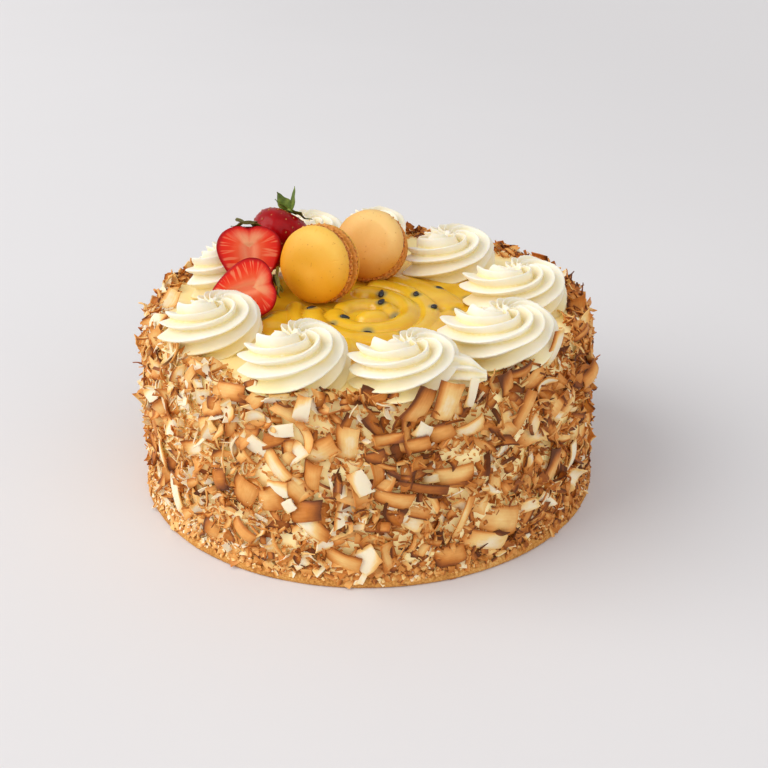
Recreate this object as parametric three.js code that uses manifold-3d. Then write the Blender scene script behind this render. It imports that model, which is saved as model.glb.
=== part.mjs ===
// Passion fruit sponge cake: a cream-coated round cake rolled in toasted coconut shavings,
// with a ring of piped cream swirls round a pool of curd, two macarons and three strawberries.
// Millimetres, +Z up, the middle of the underside at the origin, the side that is looked at towards -Y.
import * as THREE from 'three';
import { mergeVertices } from 'three/addons/utils/BufferGeometryUtils.js';
import Module from 'manifold-3d';

const wasm = await Module();
wasm.setup();

// ---- driving dimensions ----
const CLEARANCE = 0.3; // kept between pieces that touch on the real cake
const KEEP_OFF = 0.36; // how much a piece is swollen on each side before it is cut out of another
const GRID = 0.02; // points closer than this become one
const WELD = 1e-4; // corners of one shape this close are the same corner

const BASE = { radius: 120, thickness: 5, edge: 1.2, sides: 48 };

const CAKE = {
  bottom: BASE.thickness + CLEARANCE,
  top: 92,
  radiusBottom: 116,
  radiusMiddle: 115,
  radiusTop: 111,
  edge: 5,
  edgeTurns: [35, 65, 90], // degrees round the top edge at which it has a corner
  levels: [0, 0.3, 0.6, 1], // shares of the height at which the side has a corner
  sides: 36,
};

// Large coconut shavings stuck to the side and along the top edge.
const SHAVING = {
  sideCount: 78,
  rimCount: 22,
  longest: 21,
  shortest: 11,
  widest: 10,
  narrowest: 6,
  thickness: 1.2,
  reach: 4.6, // how far a tip may stand off the cream
  limit: 119, // and how far from the cake's axis
  grip: 0.9, // how deep the lowest corner sits in the cream
  float: 0.3, // how far its middle stands off the cream at least
  narrowing: 0.9, // how much of its width goes towards the ends
  rimSink: 0.6, // share of the cake's rounded edge that a shaving on the edge sinks in
  rimLevel: 1, // below the top
  lowest: 12,
  highest: 86,
  step: 137.508, // degrees from one shaving to the next
  jitter: 8,
  steps: 2,
};
// Ranges of the scattered shavings' lie in degrees.
const SHAVING_LIE = {
  tilt: [16, 50],
  lean: [5, 24],
  curl: [15, 95],
  pitch: [30, 75],
  curlBias: 1.5, // towards the flatter ones
  sizeBias: 0.25, // towards the larger ones first
};
// The shavings that catch the eye: azimuth in degrees, height, length, width, roll, tilt, lean, curl.
const KEY_SHAVINGS = [
  { at: -79, z: 86, size: [17, 8.5], roll: 62, tilt: 20, lean: 25, curl: 35 },
  { at: -66, z: 86, size: [18, 8], roll: 75, tilt: -18, lean: 28, curl: 30 },
  { at: -52, z: 86, size: [16, 5], roll: 72, tilt: 25, lean: 20, curl: 20 },
  { at: -4, z: 84, size: [20, 6], roll: 18, tilt: 30, lean: 32, curl: 80 },
  { at: -148, z: 49, size: [12, 7], roll: 20, tilt: 35, lean: 12, curl: 50 },
  { at: -119, z: 52, size: [20, 9], roll: 72, tilt: -24, lean: 14, curl: 45 },
  { at: -133, z: 50, size: [17, 9], roll: 40, tilt: 28, lean: 10, curl: 60 },
  { at: -122, z: 17, size: [13, 7], roll: 100, tilt: 30, lean: 16, curl: 40 },
  { at: -105, z: 12, size: [16, 10], roll: 15, tilt: 22, lean: 10, curl: 50 },
  { at: -92, z: 13, size: [11, 9], roll: 10, tilt: 20, lean: -14, curl: 20 },
  { at: -32, z: 42, size: [18, 9], roll: 66, tilt: 26, lean: 12, curl: 35 },
  { at: -40, z: 66, size: [16, 7], roll: 28, tilt: -32, lean: 14, curl: 95 },
  { at: -64, z: 34, size: [19, 5], roll: 8, tilt: 34, lean: 8, curl: 30 },
  { at: -53, z: 30, size: [21, 4.5], roll: 42, tilt: 28, lean: 16, curl: 15 },
  { at: -46, z: 22, size: [16, 6], roll: 30, tilt: -26, lean: 14, curl: 85 },
  { at: -171, z: 42, size: [18, 6], roll: 38, tilt: -30, lean: 12, curl: 40 },
];

// The piped ring: place, reach, height, and the turn at which each swirl starts.
const SWIRLS = [
  { x: -33, y: -82, radius: 28, height: 24, start: 190 },
  { x: 19, y: -88, radius: 27.5, height: 22, start: 175, tail: true },
  { x: 62, y: -60, radius: 30, height: 23, start: 165 },
  { x: 75, y: -6, radius: 29, height: 23, start: 170 },
  { x: 43, y: 44, radius: 30, height: 23, start: 205 },
  { x: -73, y: -42, radius: 28.5, height: 24, start: 195 },
  { x: -75, y: 24, radius: 26, height: 24, start: 215 },
  { x: -34, y: 78, radius: 25, height: 21, start: 250 },
  { x: 1.5, y: 86, radius: 24, height: 20, start: 230 },
];
const PIPING = {
  teeth: 11,
  steps: 8,
  turn: 330,
  coil: 0.44, // radius of the coil's middle line, as a share of the swirl's reach
  coilClose: 0.4,
  halfWidth: 0.56,
  halfHeight: 0.56,
  taper: 4,
  endSize: 0.14,
  startHeight: 0.28,
  endHeight: 0.7,
  climb: 1.3,
  roll: 150,
  groove: 0.36,
  foot: 0.35, // below the middle line the rope spreads out flat on the cream
  footDepth: 1.15,
  axisHole: 0.6,
};
const SWIRL_CORE = { radius: 0.6, tip: 0.2, top: 0.86, sides: 10 };
const STAND_SIDES = 18;
const TAIL = {
  length: 22,
  from: 0.35, // shares of the swirl's reach and height at which it sets off
  level: 0.52,
  drop: 8,
  halfWidth: 6.5,
  halfHeight: 5.5,
  heading: -4,
  shrink: 0.55,
  corners: 10,
  rings: [0, 0.55, 1],
};

const CURD = {
  radius: 62,
  depth: 3.2,
  edge: 2.2,
  lip: 0.4, // share of the rounded edge that lies below its shoulder
  shoulder: 1.2,
  sides: 48,
  wave: 3.5,
  lobes: 5,
  waveStart: 0.8,
};
const CURD_ROPE = {
  centre: [2, -26],
  inner: 5,
  pitch: 12.4,
  turns: 2.15,
  start: 201,
  halfWidth: 6.2,
  halfHeight: 3.4,
  lift: 2.4,
  bed: 0.2, // its underside stays this far above the pool's
  endWidth: 0.45,
  endGrowth: 3, // how fast the ends reach the full width, per turn
  corners: 8,
  stepsPerTurn: 12,
};

const MACARON = {
  radius: 19.6,
  foot: 20,
  footDepth: 3.6,
  footLip: 0.8,
  dome: 6.2,
  domeTurns: [30, 62],
  domeFullness: 0.62,
  filling: 2.6,
  fillingRadius: 17.6,
  sides: 20,
};
const MACARONS = {
  macaron_front: { centre: [-24, -1.8, 114.8], size: 1, bearing: 24, elevation: 16 },
  macaron_back: { centre: [2.6, 29, 112.6], size: 0.95, bearing: 17, elevation: 34 },
};

const BERRY = { length: 34, sides: 14 };
// Radius against depth below the shoulder, both as a share of the berry's length.
const BERRY_PROFILE = [
  [0, -0.07], [0.16, -0.02], [0.3, 0.02], [0.43, 0.12], [0.49, 0.27],
  [0.46, 0.44], [0.37, 0.62], [0.25, 0.79], [0.13, 0.92], [0, 1],
];
// Each berry: the middle of its shoulder, the way its stem points, and for a half the way its cut faces.
const BERRIES = {
  upper: {
    shoulder: [-59.5, 9, 131.2],
    bearing: -15,
    elevation: 22,
    stemTurn: -5,
    half: true,
    size: 1,
    width: 1,
  },
  lower: {
    shoulder: [-46, -20.2, 112.4],
    bearing: -8,
    elevation: 20,
    stemTurn: -80,
    half: true,
    size: 0.94,
    width: 0.93,
  },
  back: {
    shoulder: [-40.5, 45, 125.2],
    bearing: 0,
    elevation: 25,
    stemTurn: -28,
    half: false,
    size: 1,
    width: 0.98,
  },
};
const LEAF = {
  thickness: 0.8,
  thinning: 0.4,
  width: 5.2,
  tipWidth: 0.35,
  widest: [0.2, 0.75], // where the blade's swell starts and how far it runs, in half waves
  start: 1,
  wave: 0.9,
  waves: 1.3,
  steps: 3,
};
const STEM_HUB = [[0, -0.6], [3, -0.5], [2.6, 0.9], [0, 1.3]];
const STEM_HUB_SIDES = 8;
const STEM_LIFT = 1.86; // of the calyx above the berry's shoulder
// Leaves of each calyx: turn round the stem, length, and how steeply the leaf rises (90 stands up).
const CALYXES = {
  upper: [[70, 13, 4], [110, 12, 12], [150, 9, -14], [35, 10, -18]],
  lower: [[20, 8, -10], [60, 10, 10], [95, 11, -6], [135, 9, 14]],
  back: [[200, 12.5, 74], [255, 13, 80], [20, 11, 4], [120, 11, -8], [165, 11, 6], [300, 11, 2]],
};

// ---- materials ----
const finish = (color, roughness) => new THREE.MeshStandardMaterial({ color, roughness, metalness: 0 });
const spongeFinish = () => finish(0xb5762f, 0.9);
const coatedFinish = () => finish(0xe4b980, 0.75);
const creamFinish = () => finish(0xfbf3d9, 0.5);
const curdFinish = () => finish(0xf2b233, 0.2);
const shellFinish = () => finish(0xeeb04a, 0.55);
const fillingFinish = () => finish(0xb5611e, 0.7);
const berryFinish = () => finish(0xc8201c, 0.3);
const leafFinish = () => finish(0x5f6f1e, 0.6);

// ---- small helpers ----
const rad = THREE.MathUtils.degToRad;

// An even draw from 0 to 1 that depends only on the item and the channel.
function draw(item, channel) {
  let h = Math.imul(item + 1, 0x9e3779b1) ^ Math.imul(channel + 1, 0x85ebca6b);
  h = Math.imul(h ^ (h >>> 15), 0x2c1b3c6d);
  h = Math.imul(h ^ (h >>> 12), 0x297a2d39);
  return ((h ^ (h >>> 15)) >>> 0) / 4294967296;
}

const between = (low, high, share) => low + (high - low) * share;

// The direction reached by turning from a towards b.
const mix = (a, b, angle) => a.clone().multiplyScalar(Math.cos(angle)).addScaledVector(b, Math.sin(angle));

// Numbers spread evenly over 0 to 1: the binary digits of the index, mirrored.
function spread(index) {
  let share = 0;
  let step = 0.5;
  for (let rest = index; rest > 0; rest = Math.floor(rest / 2)) {
    share += (rest % 2) * step;
    step /= 2;
  }
  return share;
}

// The faces between rings that have the same number of points.
function wall(rings) {
  const count = rings[0].length;
  const faces = [];
  for (let r = 0; r + 1 < rings.length; r++) {
    for (let i = 0; i < count; i++) {
      const a = r * count + i;
      const b = r * count + ((i + 1) % count);
      faces.push(a, b, b + count, a, b + count, a + count);
    }
  }
  return faces;
}

// A closed skin through a row of rings, with flat ends.
function skin(rings) {
  const count = rings[0].length;
  const faces = wall(rings);
  const last = (rings.length - 1) * count;
  for (let i = 1; i + 1 < count; i++) {
    faces.push(0, i + 1, i, last, last + i, last + i + 1);
  }
  return indexed(rings.flat(), faces);
}

// The same with the two ends closed round a middle point each.
function skinWithHubs(rings) {
  const count = rings[0].length;
  const points = rings.flat();
  const faces = wall(rings);
  const last = (rings.length - 1) * count;
  const middle = (ring) => ring.reduce((sum, p) => sum.add(p), new THREE.Vector3()).divideScalar(count);
  points.push(middle(rings[0]), middle(rings[rings.length - 1]));
  for (let i = 0; i < count; i++) {
    const next = (i + 1) % count;
    faces.push(next, i, points.length - 2, last + i, last + next, points.length - 1);
  }
  return indexed(points, faces);
}

function indexed(points, faces) {
  const geometry = new THREE.BufferGeometry();
  const place = points.flatMap((p) => [p.x, p.y, p.z]);
  geometry.setAttribute('position', new THREE.Float32BufferAttribute(place, 3));
  geometry.setIndex(faces);
  return geometry;
}

// ---- joining and cutting ----
function solid(geometry) {
  const plain = geometry.clone();
  plain.deleteAttribute('normal');
  plain.deleteAttribute('uv');
  const merged = mergeVertices(plain, WELD);
  const triVerts = [];
  const index = merged.index.array;
  for (let i = 0; i < index.length; i += 3) {
    const [a, b, c] = [index[i], index[i + 1], index[i + 2]];
    if (a !== b && b !== c && c !== a) {
      triVerts.push(a, b, c);
    }
  }
  const mesh = new wasm.Mesh({
    numProp: 3,
    vertProperties: new Float32Array(merged.attributes.position.array),
    triVerts: new Uint32Array(triVerts),
  });
  const made = new wasm.Manifold(mesh);
  return made.volume() < 0 ? solid(flipped(merged)) : made;
}

function flipped(geometry) {
  const turned = geometry.clone();
  const index = turned.index.array;
  for (let i = 0; i < index.length; i += 3) {
    [index[i], index[i + 1]] = [index[i + 1], index[i]];
  }
  return turned;
}

function geometryOf(body) {
  const mesh = body.getMesh();
  const geometry = new THREE.BufferGeometry();
  geometry.setAttribute('position', new THREE.Float32BufferAttribute(mesh.vertProperties, 3));
  geometry.setIndex(Array.from(mesh.triVerts));
  return geometry;
}

const mainBody = (body) => body.decompose().sort((a, b) => b.volume() - a.volume())[0];

// The main body alone, with its points settled on a fine grid so that no sliver is left.
function largest(body) {
  const main = mainBody(body);
  const geometry = geometryOf(main);
  const place = geometry.attributes.position;
  for (let i = 0; i < place.array.length; i++) {
    place.array[i] = Math.round(place.array[i] / GRID) * GRID;
  }
  const settled = solid(geometry);
  return settled.status() === 'NoError' ? mainBody(settled) : main;
}

const joined = (bodies) => bodies.reduce((sum, body) => sum.add(body));

// The solid of a placed mesh where it stands, made larger all round by the clearance.
function grown(mesh) {
  mesh.updateWorldMatrix(true, false);
  const geometry = mesh.geometry.clone().applyMatrix4(mesh.matrixWorld);
  geometry.computeBoundingBox();
  const centre = geometry.boundingBox.getCenter(new THREE.Vector3());
  const size = geometry.boundingBox.getSize(new THREE.Vector3());
  const more = (length) => 1 + (2 * KEEP_OFF) / length;
  geometry.translate(-centre.x, -centre.y, -centre.z);
  geometry.scale(more(size.x), more(size.y), more(size.z));
  geometry.translate(centre.x, centre.y, centre.z);
  return solid(geometry);
}

// Cuts solids out of a placed mesh.
function carve(mesh, cutters) {
  mesh.updateWorldMatrix(true, false);
  const placed = mesh.geometry.clone().applyMatrix4(mesh.matrixWorld);
  const whole = solid(placed);
  const near = cutters.filter((next) => whole.intersect(next).volume() > 0);
  if (near.length === 0) {
    return;
  }
  const left = near.reduce((body, next) => body.subtract(next), whole);
  mesh.geometry = geometryOf(largest(left)).applyMatrix4(mesh.matrixWorld.clone().invert());
}

function named(name, geometry, material) {
  const mesh = new THREE.Mesh(geometry, material);
  mesh.name = name;
  return mesh;
}

// ---- sponge base ----
function makeBase() {
  const { radius, thickness, edge, sides } = BASE;
  const profile = [
    [0, 0], [radius, 0], [radius, thickness - edge], [radius - edge, thickness], [0, thickness],
  ];
  return named('base_disc', lathe(profile, sides), spongeFinish());
}

function lathe(profile, sides) {
  const geometry = new THREE.LatheGeometry(profile.map(([r, z]) => new THREE.Vector2(r, z)), sides);
  return geometry.rotateX(Math.PI / 2);
}

// ---- cake with its coconut ----
const coreRadius = (z) => {
  const share = (z - CAKE.bottom) / (CAKE.top - CAKE.bottom);
  const straight = between(CAKE.radiusBottom, CAKE.radiusTop, share);
  const bulge = CAKE.radiusMiddle - (CAKE.radiusBottom + CAKE.radiusTop) / 2;
  return straight + bulge * 4 * share * (1 - share);
};

function cakeCore() {
  const { bottom, top, edge, edgeTurns, levels, sides } = CAKE;
  const profile = [[0, bottom]];
  levels.map((share) => between(bottom, top - edge, share)).forEach((z) => profile.push([coreRadius(z), z]));
  const rim = coreRadius(top - edge);
  edgeTurns.map(rad).forEach((a) => {
    profile.push([rim - edge + edge * Math.cos(a), top - edge + edge * Math.sin(a)]);
  });
  profile.push([0, top]);
  return solid(lathe(profile, sides));
}

// One thin curved shaving. frame gives its middle, its length, width and outward directions.
function shaving(frame, [length, width], curl) {
  const { steps, thickness, narrowing } = SHAVING;
  const bend = rad(curl);
  const rings = [];
  for (let i = 0; i <= steps; i++) {
    const s = i / steps - 0.5;
    const angle = bend * s;
    const along = (length / bend) * Math.sin(angle);
    const sag = (length / bend) * (1 - Math.cos(angle));
    const half = (width / 2) * (1 - narrowing * s * s);
    const middle = frame.middle.clone().addScaledVector(frame.long, along).addScaledVector(frame.out, -sag);
    const normal = mix(frame.out, frame.long, angle);
    const corner = (side, face) => middle.clone()
      .addScaledVector(frame.wide, side * half)
      .addScaledVector(normal, (face * thickness) / 2);
    rings.push([corner(-1, -1), corner(1, -1), corner(1, 1), corner(-1, 1)]);
  }
  return solid(skin(rings));
}

// Where a shaving sits: on the side of the cake, or with a pitch of up to 90 on its top edge.
function shavingFrame({ at, z, size, roll, tilt, lean, pitch = 0 }) {
  const turn = rad(at);
  const rise = rad(pitch);
  const radial = new THREE.Vector3(Math.cos(turn), Math.sin(turn), 0);
  const level = new THREE.Vector3(-Math.sin(turn), Math.cos(turn), 0);
  const up = new THREE.Vector3(0, 0, 1);
  const face = mix(radial, up, rise);
  const slope = mix(up, radial, -rise);
  const first = mix(level, slope, rad(roll));
  const second = mix(slope, level, -rad(roll));
  const long = mix(first, face, rad(lean));
  const lifted = mix(face, first, -rad(lean));
  const wide = mix(second, lifted, rad(tilt));
  const out = mix(lifted, second, -rad(tilt));
  const swing = 0.5 * (size[0] * Math.abs(Math.sin(rad(lean))) + size[1] * Math.abs(Math.sin(rad(tilt))));
  const tall = 0.5 * (size[0] * Math.abs(long.z) + size[1] * Math.abs(wide.z)) + SHAVING.thickness;
  const height = Math.max(z, CAKE.bottom + tall);
  const reach = Math.min(SHAVING.reach, SHAVING.limit - coreRadius(height));
  const stand = Math.min(Math.max(swing - SHAVING.grip, SHAVING.float), reach - swing);
  const foot = radial.clone().multiplyScalar(coreRadius(height)).setZ(height);
  foot.addScaledVector(radial, -CAKE.edge * Math.sin(rise) * SHAVING.rimSink);
  return { middle: foot.addScaledVector(face, stand), long, wide, out };
}

// The rule that scatters the shavings: even in turn and height, uneven in size and lie.
function scatteredShavings() {
  const list = [];
  const s = SHAVING;
  const lie = SHAVING_LIE;
  for (let i = 0; i < s.sideCount + s.rimCount; i++) {
    const onRim = i >= s.sideCount;
    const large = 1 - i / s.sideCount;
    const side = (channel) => (draw(i, channel) < 0.5 ? -1 : 1);
    const share = lie.sizeBias * large + (1 - lie.sizeBias) * draw(i, 1);
    list.push({
      at: i * s.step + s.jitter * draw(i, 0),
      z: onRim ? CAKE.top - s.rimLevel : between(s.lowest, s.highest, spread(i + 1)),
      size: [between(s.shortest, s.longest, share), between(s.narrowest, s.widest, draw(i, 2))],
      roll: 180 * draw(i, 3),
      tilt: side(4) * between(...lie.tilt, draw(i, 5)),
      lean: side(6) * between(...lie.lean, draw(i, 7)),
      curl: between(...lie.curl, draw(i, 8) ** lie.curlBias),
      pitch: onRim ? between(...lie.pitch, draw(i, 9)) : 0,
    });
  }
  return list;
}

function makeCake(cutters) {
  const rows = [...KEY_SHAVINGS, ...scatteredShavings()];
  const chips = rows.map((row) => shaving(shavingFrame(row), row.size, row.curl));
  const coat = cutters.reduce((body, next) => body.subtract(next), joined(chips));
  return named('cake_body', geometryOf(largest(cakeCore().add(coat))), coatedFinish());
}

// ---- piped cream ----
// The star-shaped rope of one swirl, coiled round the swirl's own axis without crossing it.
function swirlRope({ radius, height }) {
  const p = PIPING;
  const rings = [];
  for (let i = 0; i <= p.steps; i++) {
    const s = i / p.steps;
    const turn = rad(p.turn * s);
    const coil = radius * p.coil * (1 - s) ** p.coilClose;
    const size = p.endSize + (1 - p.endSize) * (1 - s ** p.taper);
    const level = height * between(p.startHeight, p.endHeight, s ** p.climb);
    const ring = [];
    for (let j = 0; j < 2 * p.teeth; j++) {
      const angle = (Math.PI * j) / p.teeth + rad(p.roll * s);
      const reach = j % 2 === 0 ? 1 : 1 - p.groove;
      const [across, rise] = [Math.cos(angle), Math.sin(angle)];
      const below = rise < 0;
      const sideways = below ? Math.sign(across) * Math.abs(across) ** p.foot : across;
      const tall = below ? level * p.footDepth : height * p.halfHeight * size;
      const out = Math.max(coil + radius * p.halfWidth * size * reach * sideways, p.axisHole);
      const up = Math.max(level + tall * reach * rise, 0);
      ring.push(new THREE.Vector3(out * Math.cos(turn), out * Math.sin(turn), up));
    }
    rings.push(ring);
  }
  return solid(skinWithHubs(rings));
}

// The end of the rope that was drawn off sideways.
function swirlTail({ radius, height }) {
  const t = TAIL;
  const rings = t.rings.map((share) => {
    const size = 1 - t.shrink * share;
    const level = height * t.level - t.drop * share;
    const ring = [];
    for (let j = 0; j < t.corners; j++) {
      const angle = (2 * Math.PI * j) / t.corners;
      const reach = j % 2 === 0 ? 1 : 1 - PIPING.groove;
      const across = t.heading * share + t.halfWidth * size * reach * Math.cos(angle);
      const up = Math.max(level + t.halfHeight * size * reach * Math.sin(angle), 0);
      ring.push(new THREE.Vector3(radius * t.from + t.length * share, across, up));
    }
    return ring;
  });
  return solid(skinWithHubs(rings));
}

// The round stand of a swirl, which everything round it keeps clear of.
function swirlStand({ x, y, radius, height }) {
  const reach = (radius + CLEARANCE) / Math.cos(Math.PI / STAND_SIDES);
  const profile = [[0, 0], [reach, 0], [reach, height], [0, height]];
  return solid(lathe(profile, STAND_SIDES).translate(x, y, CAKE.top));
}

// The block that a swirl's tail lies in.
function tailStand({ x, y, radius, height }) {
  const long = TAIL.length + 2 * CLEARANCE;
  const wide = 2 * TAIL.halfWidth + Math.abs(TAIL.heading);
  const middle = x + TAIL.from * radius + TAIL.length / 2;
  const block = new THREE.BoxGeometry(long, wide, height);
  return solid(block.translate(middle, y + TAIL.heading / 2, CAKE.top + height / 2));
}

function makeSwirl(row, number) {
  const { radius, height, start } = row;
  const top = height * SWIRL_CORE.top;
  const profile = [[0, 0], [radius * SWIRL_CORE.radius, 0], [radius * SWIRL_CORE.tip, top], [0, top]];
  const parts = [swirlRope(row), solid(lathe(profile, SWIRL_CORE.sides))];
  if (row.tail) {
    parts.push(solid(geometryOf(swirlTail(row)).rotateZ(-rad(start))));
  }
  const mesh = named(`swirl_${number}`, geometryOf(largest(joined(parts))), creamFinish());
  mesh.position.set(row.x, row.y, CAKE.top + CLEARANCE);
  mesh.rotation.z = rad(start);
  return mesh;
}

// ---- curd ----
function curdPool() {
  const { radius, depth, edge, lip, shoulder, sides, wave, lobes, waveStart } = CURD;
  const profile = [
    [0, 0], [radius, 0], [radius - lip * edge, depth - shoulder], [radius - edge, depth], [0, depth],
  ];
  const geometry = lathe(profile, sides);
  const place = geometry.attributes.position;
  for (let i = 0; i < place.count; i++) {
    const turn = Math.atan2(place.getY(i), place.getX(i));
    const swell = 1 + (wave / radius) * Math.sin(lobes * turn + waveStart);
    place.setXY(i, place.getX(i) * swell, place.getY(i) * swell);
  }
  return solid(geometry);
}

// The piped rope of curd that winds out over the pool.
function curdRope() {
  const c = CURD_ROPE;
  const steps = Math.round(c.turns * c.stepsPerTurn);
  const level = CURD.depth - c.halfHeight + c.lift;
  const rings = [];
  for (let i = 0; i <= steps; i++) {
    const turned = (i / steps) * c.turns;
    const angle = rad(c.start) - 2 * Math.PI * turned;
    const ending = Math.min(1, c.endWidth + c.endGrowth * Math.min(turned, c.turns - turned));
    const ring = [];
    for (let j = 0; j < c.corners; j++) {
      const round = (2 * Math.PI * (j + 0.5)) / c.corners;
      const reach = c.inner + c.pitch * turned + c.halfWidth * ending * Math.cos(round);
      const up = Math.max(level + c.halfHeight * ending * Math.sin(round), c.bed);
      ring.push(new THREE.Vector3(
        c.centre[0] + reach * Math.cos(angle),
        c.centre[1] + reach * Math.sin(angle),
        up,
      ));
    }
    rings.push(ring);
  }
  return solid(skinWithHubs(rings));
}

function makeCurd(cutters) {
  const mesh = named('curd', geometryOf(curdPool().add(curdRope())), curdFinish());
  mesh.position.z = CAKE.top + CLEARANCE;
  carve(mesh, cutters);
  return mesh;
}

// ---- macarons ----
function macaronShell(scale) {
  const m = MACARON;
  const [radius, foot] = [m.radius * scale, m.foot * scale];
  const profile = [[0, 0], [foot, 0], [foot, m.footDepth * m.footLip], [radius, m.footDepth]];
  m.domeTurns.map(rad).forEach((a) => {
    profile.push([radius * Math.cos(a) ** m.domeFullness, m.footDepth + m.dome * Math.sin(a)]);
  });
  profile.push([0, m.footDepth + m.dome]);
  return lathe(profile, m.sides);
}

function makeMacaron(name, { centre, size, bearing, elevation }) {
  const group = new THREE.Group();
  const half = MACARON.filling / 2;
  const front = named(`${name}_shell_a`, macaronShell(size), shellFinish());
  front.position.z = half + CLEARANCE;
  const back = named(`${name}_shell_b`, macaronShell(size), shellFinish());
  back.rotation.x = Math.PI;
  back.position.z = -half - CLEARANCE;
  const round = MACARON.fillingRadius * size;
  const disc = lathe([[0, -half], [round, -half], [round, half], [0, half]], MACARON.sides);
  group.add(front, named(`${name}_filling`, disc, fillingFinish()), back);
  group.position.set(...centre);
  group.quaternion.setFromUnitVectors(new THREE.Vector3(0, 0, 1), facing(bearing, elevation));
  return group;
}

// A direction that looks towards the front, turned to the left by the bearing and upwards.
function facing(bearing, elevation) {
  const level = Math.cos(rad(elevation));
  const turn = rad(bearing);
  return new THREE.Vector3(-level * Math.sin(turn), -level * Math.cos(turn), Math.sin(rad(elevation)));
}

// ---- strawberries ----
function berryBody({ size, width, half }) {
  const length = BERRY.length * size;
  const profile = BERRY_PROFILE.map(([r, depth]) => [r * length * width, -depth * length]).reverse();
  const whole = solid(lathe(profile, BERRY.sides));
  return half ? whole.subtract(frontHalf()) : whole;
}

// The block that takes away everything in front of a berry's cut.
function frontHalf() {
  const reach = 3 * BERRY.length;
  return solid(new THREE.BoxGeometry(reach, reach, reach).translate(0, -reach / 2, 0));
}

// Turns a piece so that its stem (+Z) and its cut (-Y) look the right way.
function placeBerry(mesh, { shoulder, bearing, elevation, stemTurn }) {
  const cut = facing(bearing, elevation);
  const right = new THREE.Vector3(0, 0, 1).cross(cut).normalize();
  const up = cut.clone().cross(right);
  const stem = up.multiplyScalar(Math.cos(rad(stemTurn))).addScaledVector(right, -Math.sin(rad(stemTurn)));
  const across = cut.clone().negate().cross(stem);
  mesh.quaternion.setFromRotationMatrix(new THREE.Matrix4().makeBasis(across, cut.clone().negate(), stem));
  mesh.position.set(...shoulder);
}

function makeBerry(name, row) {
  const mesh = named(`strawberry_${name}`, geometryOf(berryBody(row)), berryFinish());
  placeBerry(mesh, row);
  return mesh;
}

// One leaf of the calyx: a thin wavy blade that starts at the stem.
function leafBlade([turn, length, rise]) {
  const { thickness, thinning, width, tipWidth, widest, start, wave, waves, steps } = LEAF;
  const lean = rad(rise);
  const rings = [];
  for (let i = 0; i <= steps; i++) {
    const s = i / steps;
    const swell = Math.sin(Math.PI * (widest[0] + widest[1] * s));
    const half = (width / 2) * between(tipWidth, 1, swell);
    const out = start + length * s * Math.cos(lean);
    const up = length * s * Math.sin(lean) + wave * Math.sin(2 * Math.PI * waves * s) * s;
    const thick = (thickness / 2) * (1 - thinning * s);
    const corner = (side, face) => new THREE.Vector3(
      out - face * thick * Math.sin(lean),
      side * half,
      up + face * thick * Math.cos(lean),
    );
    rings.push([corner(-1, -1), corner(1, -1), corner(1, 1), corner(-1, 1)]);
  }
  return solid(skin(rings).rotateZ(rad(turn)));
}

function makeCalyx(name, leaves, berry) {
  const hub = solid(lathe(STEM_HUB, STEM_HUB_SIDES));
  let body = joined([hub, ...leaves.map(leafBlade)]);
  if (berry.half) {
    body = body.subtract(frontHalf());
  }
  const mesh = named(`calyx_${name}`, geometryOf(body).translate(0, 0, STEM_LIFT), leafFinish());
  placeBerry(mesh, berry);
  return mesh;
}

// ---- the whole cake ----
const cake = new THREE.Group();
const base = makeBase();
const swirls = SWIRLS.map((row, i) => makeSwirl(row, i + 1));
const macarons = Object.entries(MACARONS).map(([name, row]) => makeMacaron(name, row));
const macaronPieces = macarons.flatMap((group) => group.children);
const berries = Object.entries(BERRIES).map(([name, row]) => makeBerry(name, row));
const calyxes = Object.entries(CALYXES).map(([name, leaves]) => makeCalyx(name, leaves, BERRIES[name]));

berries.forEach((berry) => carve(berry, macaronPieces.map(grown)));
calyxes.forEach((calyx, i) => {
  const others = [...berries, ...macaronPieces, ...calyxes.slice(0, i)];
  carve(calyx, others.map(grown));
});
const toppings = [...berries, ...calyxes, ...macaronPieces].map(grown);
swirls.forEach((swirl) => carve(swirl, toppings));

const stands = SWIRLS.map(swirlStand);
const tails = SWIRLS.filter((row) => row.tail).map(tailStand);
const curd = makeCurd([...stands, ...toppings]);
const body = makeCake([grown(base), ...stands, ...tails]);
cake.add(base, body, ...swirls, curd, ...macarons, ...berries, ...calyxes);

export default cake;
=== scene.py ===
import bpy
import math
import numpy
import time
from mathutils import Matrix, Vector, noise


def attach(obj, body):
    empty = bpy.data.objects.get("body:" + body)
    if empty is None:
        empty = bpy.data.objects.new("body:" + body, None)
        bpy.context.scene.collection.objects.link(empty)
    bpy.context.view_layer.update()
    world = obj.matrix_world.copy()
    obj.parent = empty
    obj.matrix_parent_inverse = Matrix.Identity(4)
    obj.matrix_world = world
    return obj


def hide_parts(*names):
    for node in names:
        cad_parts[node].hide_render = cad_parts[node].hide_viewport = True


# Passion fruit sponge cake. Sizes are in millimetres of the frame until a mesh is made of them.
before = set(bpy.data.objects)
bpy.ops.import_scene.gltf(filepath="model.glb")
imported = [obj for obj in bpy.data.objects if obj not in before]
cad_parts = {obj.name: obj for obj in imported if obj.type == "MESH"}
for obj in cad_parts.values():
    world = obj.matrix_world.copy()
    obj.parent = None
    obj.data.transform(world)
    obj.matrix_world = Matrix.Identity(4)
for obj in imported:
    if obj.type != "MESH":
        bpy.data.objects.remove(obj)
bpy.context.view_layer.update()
startTime = time.time()
mm = 0.001


# Small helpers.

def report(words):
    print(f"{time.time() - startTime:6.1f} s  {words}")


def between(low, high, share):
    return low + (high - low) * share


def smooth(low, high, value):
    share = min(max((value - low) / (high - low), 0), 1)
    return share * share * (3 - 2 * share)


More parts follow.
